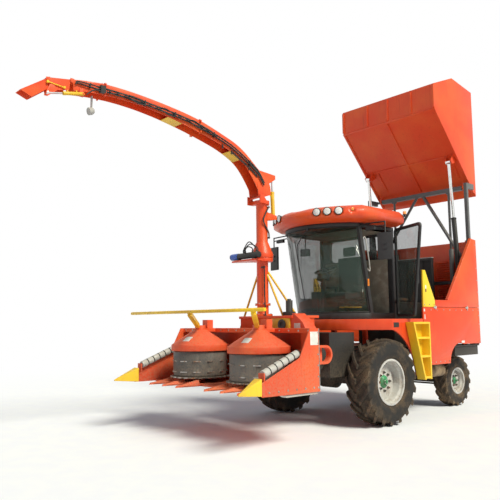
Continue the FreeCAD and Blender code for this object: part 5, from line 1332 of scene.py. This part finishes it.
def header_details():
    """Tooth tips, painted groove shade on the side rollers, thin lifter rods, skids and blank plates of the header.
    """
    for build in (tooth_tips, roller_groove_shade, lifter_rods, skids_and_signs, sleeves_and_welds):
        build()


def side_plates():
    """Reflectors, blank plates, latches and the radiator's top rail."""
    white, dark, metal = Stock(), Stock(), Stock()
    plates = [(white, 0.962, 1.0, 1.718, 1.762, 0.005), (white, 0.98, 1.0, 1.59, 1.67, 0.005),
              (white, 2.125, 2.225, 1.175, 1.212, 0.005), (white, 0.975, 0.998, 0.905, 0.975, 0.005),
              (white, 1.038, 1.072, 2.09, 2.15, 0.002), (dark, 1.038, 1.072, 2.04, 2.088, 0.002),
              (dark, 0.112, 0.25, 1.47, 1.545, 0.004)]
    for y in (1.312, 2.358):
        plates += [(metal, y - 0.045, y + 0.045, 1.772, 1.8, 0.01),
                   (metal, y - 0.012, y + 0.012, 1.755, 1.815, 0.016)]
    for s in (1, -1):
        for stock, y0, y1, z0, z1, thick in plates:
            a, b = sorted((s * (PANEL_X - 0.0005), s * (PANEL_X + thick)))
            stock.box((a, y0, z0), (b, y1, z1))
    white.done("reflectors", "white_lens", width=0.0015)
    dark.done("blank_plates", "black_plastic", width=0.0008)
    metal.box((-0.452, 2.436, 2.7545), (0.502, 2.504, 2.768))
    metal.done("latches_and_rail", "silver_paint", width=0.002)


def panel_flanges():
    """Folded flanges along the side panels' sloping edge."""
    flange = Stock()
    for s in (1, -1):
        a, b = sorted((s * 1.16, s * 1.2095))
        flange.prism([(a, 1.737, 1.9115), (a, 2.65, 3.0595), (a, 2.637, 3.07), (a, 1.726, 1.924)], (b - a, 0, 0))
    flange.done("panel_flanges", "orange_paint", width=0.002)


def tread_bars():
    """Raised bars across the steps."""
    treads = Stock()
    for z in STEP_HEIGHTS:
        near = 0.7 + (z - 0.675) / 0.9 * (0.425 - 0.7) + 0.02
        for k in range(9):
            x = 1.224 + 0.0145 * k
            treads.box((x, near + 0.008, z - 0.0005), (x + 0.005, 0.872, z + 0.003))
    treads.done("tread_bars", "yellow_paint")


def chopper_plates():
    """The drive's round cover and a blank plate on the housing."""
    fan = Stock()
    fan.lathe([(0.0, TIP), (0.0, 0.03), (0.012, 0.034), (0.016, 0.06), (0.012, 0.0765), (-0.014, 0.0765),
               (-0.014, TIP)], (0.43, -1.5345, 1.53), (0, -1, 0), 36)
    fan.done("drive_cover", "black_plastic")
    hood = Stock()
    laid_on(hood, "chopper_housing", (0.66, -1.7, 1.45), (0.12, 0, 0), (0, 0, 0.1), (0, 1, 0), 0.0015, 3)
    hood.done("hood_plate", "plate_white")


def engine_fittings():
    """Covers, pipes and pulleys on the engine."""
    engine = Stock()
    engine.box((-0.3, 1.34, 1.899), (0.06, 2.1, 1.96))
    for k in range(4):
        engine.rod((0.17, 1.43 + 0.18 * k, 1.895), (0.17, 1.43 + 0.18 * k, 1.935), 0.03, 20)
    engine.rod((0.17, 1.38, 1.95), (0.17, 2.05, 1.95), 0.042, 24)
    engine.rod((-0.41, 1.48, 1.7), (-0.56, 1.48, 1.7), 0.08, 28)
    engine.rod((-0.48, 1.42, 1.5), (-0.48, 2.05, 1.5), 0.075, 28)
    for x, z, r in ((0.0, 1.42, 0.11), (-0.22, 1.64, 0.075), (0.23, 1.6, 0.06)):
        engine.lathe([(-0.034, 0.012), (-0.034, r), (-0.028, r), (-0.02, r - 0.014), (-0.012, r), (-0.006, r),
                      (-0.006, 0.012)], (x, 2.25, z), (0, -1, 0), 36)
    engine.done("engine_fittings", "cast_steel", width=0.002)


def body_details():
    """Latches, reflectors, a blank plate, the radiator's top rail, tread bars and engine fittings."""
    for build in (side_plates, panel_flanges, tread_bars, chopper_plates, engine_fittings):
        build()


def fasteners():
    """Rows of bolts along the side panels and the header, and rings of them on the post."""
    panel_rows = [((0.99, 0.885), (1.69, 0.885), 6), ((0.985, 1.745), (2.775, 1.745), 10),
                  ((2.775, 1.19), (2.775, 1.65), 4), ((2.775, 1.86), (2.775, 2.95), 6),
                  ((1.0, 1.83), (1.285, 1.83), 3), ((0.725, 0.76), (0.905, 0.76), 2)]
    header_rows = [((-1.875, 0.73), (-1.875, 1.43), 6), ((-2.75, 0.735), (-1.96, 0.735), 6)]

    def rows_on(x, rows):
        """Bolts on both sides of the machine, along rows given by their ends and count."""
        return [((s * x, *p.yz), (s, 0, 0)) for s in (1, -1) for a, b, count in rows
                for p in spread((0, *a), (0, *b), count)]

    def ring(count, r, z, start=0.0):
        """Bolts round the chute's upright axis."""
        return [((POST.x + u, POST.y + v, z), (0, 0, 1)) for u, v in around(count, r, start)]

    bolts("panel_bolts", rows_on(PANEL_X + 0.0005, panel_rows), "root", 0.0085, 0.005)
    top_edge = [(p, (0, -1, 0)) for p in spread((-1.34, -1.9635, 1.452), (1.34, -1.9635, 1.452), 16)]
    bolts("header_bolts", rows_on(1.4175, header_rows) + top_edge, "header_frame", 0.009, 0.006)
    bolts("post_flange_bolts", ring(10, 0.108, 1.8505) + ring(10, 0.128, 1.6905), "root", 0.01, 0.008)
    bolts("slew_ring_bolts", ring(12, 0.156, 2.6205, math.pi / 12), "slew_tube", 0.008, 0.007)


# ---------------------------------------------------------------- stage
def pale_floor():
    """A floor that fades to plain white far from the machine, for the camera only."""
    f = Finish("pale_floor")
    x, y = f.axes()[:2]
    far = (x * x + y * y).root().ramp(4.0, 15.0)
    seen = f.node("ShaderNodeLightPath")
    glow = f.node("ShaderNodeEmission", {}, {"Color": (1, 1, 1, 1), "Strength": 1.0})
    colour = f.mix(f.noise(3.0, 3.0, 0.6).ramp(0.3, 0.7), rgb((0.87, 0.9, 1.0)), rgb((0.9, 0.93, 1.0)))
    ground = f.set(colour=colour, rough=0.9, spec=0.1)
    blend = f.node("ShaderNodeMixShader", {}, {0: far * seen, 1: f.shader.outputs[0], 2: glow})
    plug(f.tree, f.tree.nodes["Material Output"].inputs[0], blend)
    return ground


def studio_world(strength):
    """Even light from all round, which looks plain white to the camera and in reflections."""
    world = bpy.context.scene.world = bpy.data.worlds.new("studio")
    world.use_nodes = True
    tree = world.node_tree
    back = tree.nodes["Background"]
    back.inputs[0].default_value = (0.96, 0.98, 1.0, 1)
    back.inputs[1].default_value = strength
    path = add_node(tree, "ShaderNodeLightPath")
    seen = add_node(tree, "ShaderNodeMath", {"operation": "MAXIMUM"}, {0: path.outputs["Is Camera Ray"],
                                                                       1: path.outputs["Is Glossy Ray"]})
    white = add_node(tree, "ShaderNodeBackground", {}, {0: (1, 1, 1, 1), 1: 1.0})
    blend = add_node(tree, "ShaderNodeMixShader", {}, {0: seen.outputs[0], 1: back.outputs[0], 2: white.outputs[0]})
    plug(tree, tree.nodes["World Output"].inputs[0], blend.outputs[0])


def stage_set(light):
    """Floor, even sky, two soft lamps and the camera."""
    work = bmesh.new()
    bmesh.ops.create_grid(work, x_segments=2, y_segments=2, size=FLOOR_HALF)
    floor_mesh = mesh_of(work, "floor")
    floor_mesh.materials.append(pale_floor())
    put_in_scene("floor", floor_mesh)
    studio_world(light.sky)
    lamps = (("key", (1.0, 0.05, 0.95), 22.0, light.key, (1.0, 0.97, 0.8)),
             ("fill", (-0.35, -1.0, 0.75), 60.0, light.fill, (0.95, 0.97, 1.0)))
    for name, way, spread_deg, strength, colour in lamps:
        lamp = bpy.data.lights.new(name, "SUN")
        lamp.angle, lamp.energy, lamp.color = math.radians(spread_deg), strength, colour
        put_in_scene(name, lamp).rotation_euler = Vector(way).to_track_quat("Z", "Y").to_euler()
    camera = bpy.data.cameras.new("camera")
    camera.lens, camera.sensor_width, camera.clip_end = LENS, 36.0, 1.5 * FLOOR_HALF
    holder = put_in_scene("camera", camera)
    flat = Vector(LOOK).normalized()
    right = flat.cross(UP)
    forward = flat * math.cos(PITCH) + Vector((0, 0, math.sin(PITCH)))
    up = right.cross(forward)
    right_r = right * math.cos(ROLL) + up * math.sin(ROLL)
    up_r = up * math.cos(ROLL) - right * math.sin(ROLL)
    place = Matrix((right_r, up_r, -forward)).transposed().to_4x4()
    place.translation = Vector(EYE)
    holder.matrix_world = place
    bpy.context.scene.camera = holder
    bpy.context.scene.view_settings.view_transform = "Standard"


# ---------------------------------------------------------------- settings and operators
class HarvesterColours(bpy.types.PropertyGroup):
    orange: bpy.props.FloatVectorProperty(name="Machine paint", description="Main panel colour", subtype="COLOR",
                                          size=3, default=(0.68, 0.055, 0.012), min=0.0, max=1.0)
    orange_faded: bpy.props.FloatVectorProperty(name="Faded paint", description="Main colour bleached by the sun",
                                                subtype="COLOR", size=3, default=(0.72, 0.1, 0.02), min=0.0, max=1.0)
    yellow: bpy.props.FloatVectorProperty(name="Guard paint", description="Steps, bars and tips", subtype="COLOR",
                                          size=3, default=(0.86, 0.56, 0.02), min=0.0, max=1.0)


class HarvesterLight(bpy.types.PropertyGroup):
    key: bpy.props.FloatProperty(name="Key lamp",
                                 description="Strength of the soft lamp on the machine's left side", default=3.9,
                                 min=0.0)
    fill: bpy.props.FloatProperty(name="Fill lamp", description="Strength of the soft lamp ahead of the machine",
                                  default=0.12, min=0.0)
    sky: bpy.props.FloatProperty(name="Sky", description="Strength of the even light from all round", default=0.245,
                                 min=0.0)


class HARVESTER_OT_finishes(bpy.types.Operator):
    """Make every paint, metal, glass, rubber and cloth finish"""
    bl_idname = "harvester.finishes"
    bl_label = "Finishes"

    def execute(self, context):
        make_finishes(context.scene.harvester_colours)
        return {"FINISHED"}


class HARVESTER_OT_carried_parts(bpy.types.Operator):
    """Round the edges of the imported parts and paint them"""
    bl_idname = "harvester.carried_parts"
    bl_label = "Carried-over parts"

    def execute(self, context):
        carried_parts()
        return {"FINISHED"}


class HARVESTER_OT_wheels(bpy.types.Operator):
    """Build the tyres, wheel nuts and hub caps"""
    bl_idname = "harvester.wheels"
    bl_label = "Wheels"

    def execute(self, context):
        wheels()
        return {"FINISHED"}


class HARVESTER_OT_cab_trim(bpy.types.Operator):
    """Build the seals, the wiper, the mirrors and their brackets"""
    bl_idname = "harvester.cab_trim"
    bl_label = "Cab trim"

    def execute(self, context):
        cab_trim()
        return {"FINISHED"}


class HARVESTER_OT_cab_inside(bpy.types.Operator):
    """Build the seat, console and steering wheel"""
    bl_idname = "harvester.cab_inside"
    bl_label = "Cab inside"

    def execute(self, context):
        cab_inside()
        return {"FINISHED"}


class HARVESTER_OT_roof_details(bpy.types.Operator):
    """Build the lamps, markers and beacon"""
    bl_idname = "harvester.roof_details"
    bl_label = "Roof lamps"

    def execute(self, context):
        roof_details()
        return {"FINISHED"}


class HARVESTER_OT_hose_runs(bpy.types.Operator):
    """Build the hydraulic hoses, clips and valve"""
    bl_idname = "harvester.hose_runs"
    bl_label = "Hoses"

    def execute(self, context):
        hose_runs()
        return {"FINISHED"}


class HARVESTER_OT_chute_marks(bpy.types.Operator):
    """Build the blank plates, the flange lugs and the flap link of the chute"""
    bl_idname = "harvester.chute_marks"
    bl_label = "Chute fittings"

    def execute(self, context):
        chute_marks()
        return {"FINISHED"}


class HARVESTER_OT_glands(bpy.types.Operator):
    """Build the gland rings of the hydraulic cylinders"""
    bl_idname = "harvester.glands"
    bl_label = "Cylinder glands"

    def execute(self, context):
        cylinder_glands()
        return {"FINISHED"}


class HARVESTER_OT_header_details(bpy.types.Operator):
    """Build the tooth tips, the rollers' painted groove shade, lifter rods, skids and blank plates"""
    bl_idname = "harvester.header_details"
    bl_label = "Header details"

    def execute(self, context):
        header_details()
        return {"FINISHED"}


class HARVESTER_OT_body_details(bpy.types.Operator):
    """Build the latches, reflectors, tread bars and engine fittings"""
    bl_idname = "harvester.body_details"
    bl_label = "Body details"

    def execute(self, context):
        body_details()
        return {"FINISHED"}


class HARVESTER_OT_fasteners(bpy.types.Operator):
    """Set the bolts of panels, header and post"""
    bl_idname = "harvester.fasteners"
    bl_label = "Fasteners"

    def execute(self, context):
        fasteners()
        return {"FINISHED"}


class HARVESTER_OT_stage(bpy.types.Operator):
    """Lay the floor and set the light and camera"""
    bl_idname = "harvester.stage"
    bl_label = "Stage"

    def execute(self, context):
        stage_set(context.scene.harvester_light)
        return {"FINISHED"}


STEPS = [HARVESTER_OT_finishes, HARVESTER_OT_carried_parts, HARVESTER_OT_wheels, HARVESTER_OT_cab_trim,
         HARVESTER_OT_cab_inside, HARVESTER_OT_roof_details, HARVESTER_OT_hose_runs, HARVESTER_OT_chute_marks,
         HARVESTER_OT_glands, HARVESTER_OT_header_details, HARVESTER_OT_body_details, HARVESTER_OT_fasteners,
         HARVESTER_OT_stage]


class HARVESTER_PT_panel(bpy.types.Panel):
    """Lists the building steps and the colours"""
    bl_label = "Corn harvester"
    bl_idname = "HARVESTER_PT_panel"
    bl_space_type = "VIEW_3D"
    bl_region_type = "UI"
    bl_category = "Harvester"

    def draw(self, context):
        for step in STEPS:
            self.layout.operator(step.bl_idname)
        for group in (context.scene.harvester_colours, context.scene.harvester_light):
            for key in group.bl_rna.properties.keys():
                if key not in ("rna_type", "name"):
                    self.layout.prop(group, key)


CLASSES = [HarvesterColours, HarvesterLight, *STEPS, HARVESTER_PT_panel]


def register():
    """Add the classes and their settings to Blender."""
    for cls in CLASSES:
        bpy.utils.register_class(cls)
    bpy.types.Scene.harvester_colours = bpy.props.PointerProperty(type=HarvesterColours)
    bpy.types.Scene.harvester_light = bpy.props.PointerProperty(type=HarvesterLight)


def unregister():
    """Take the settings and classes out again."""
    del bpy.types.Scene.harvester_light
    del bpy.types.Scene.harvester_colours
    for cls in reversed(CLASSES):
        bpy.utils.unregister_class(cls)


def main():
    """Run every step in order."""
    register()
    for step in STEPS:
        group, action = step.bl_idname.split(".")
        getattr(getattr(bpy.ops, group), action)()


if __name__ == "__main__":
    main()
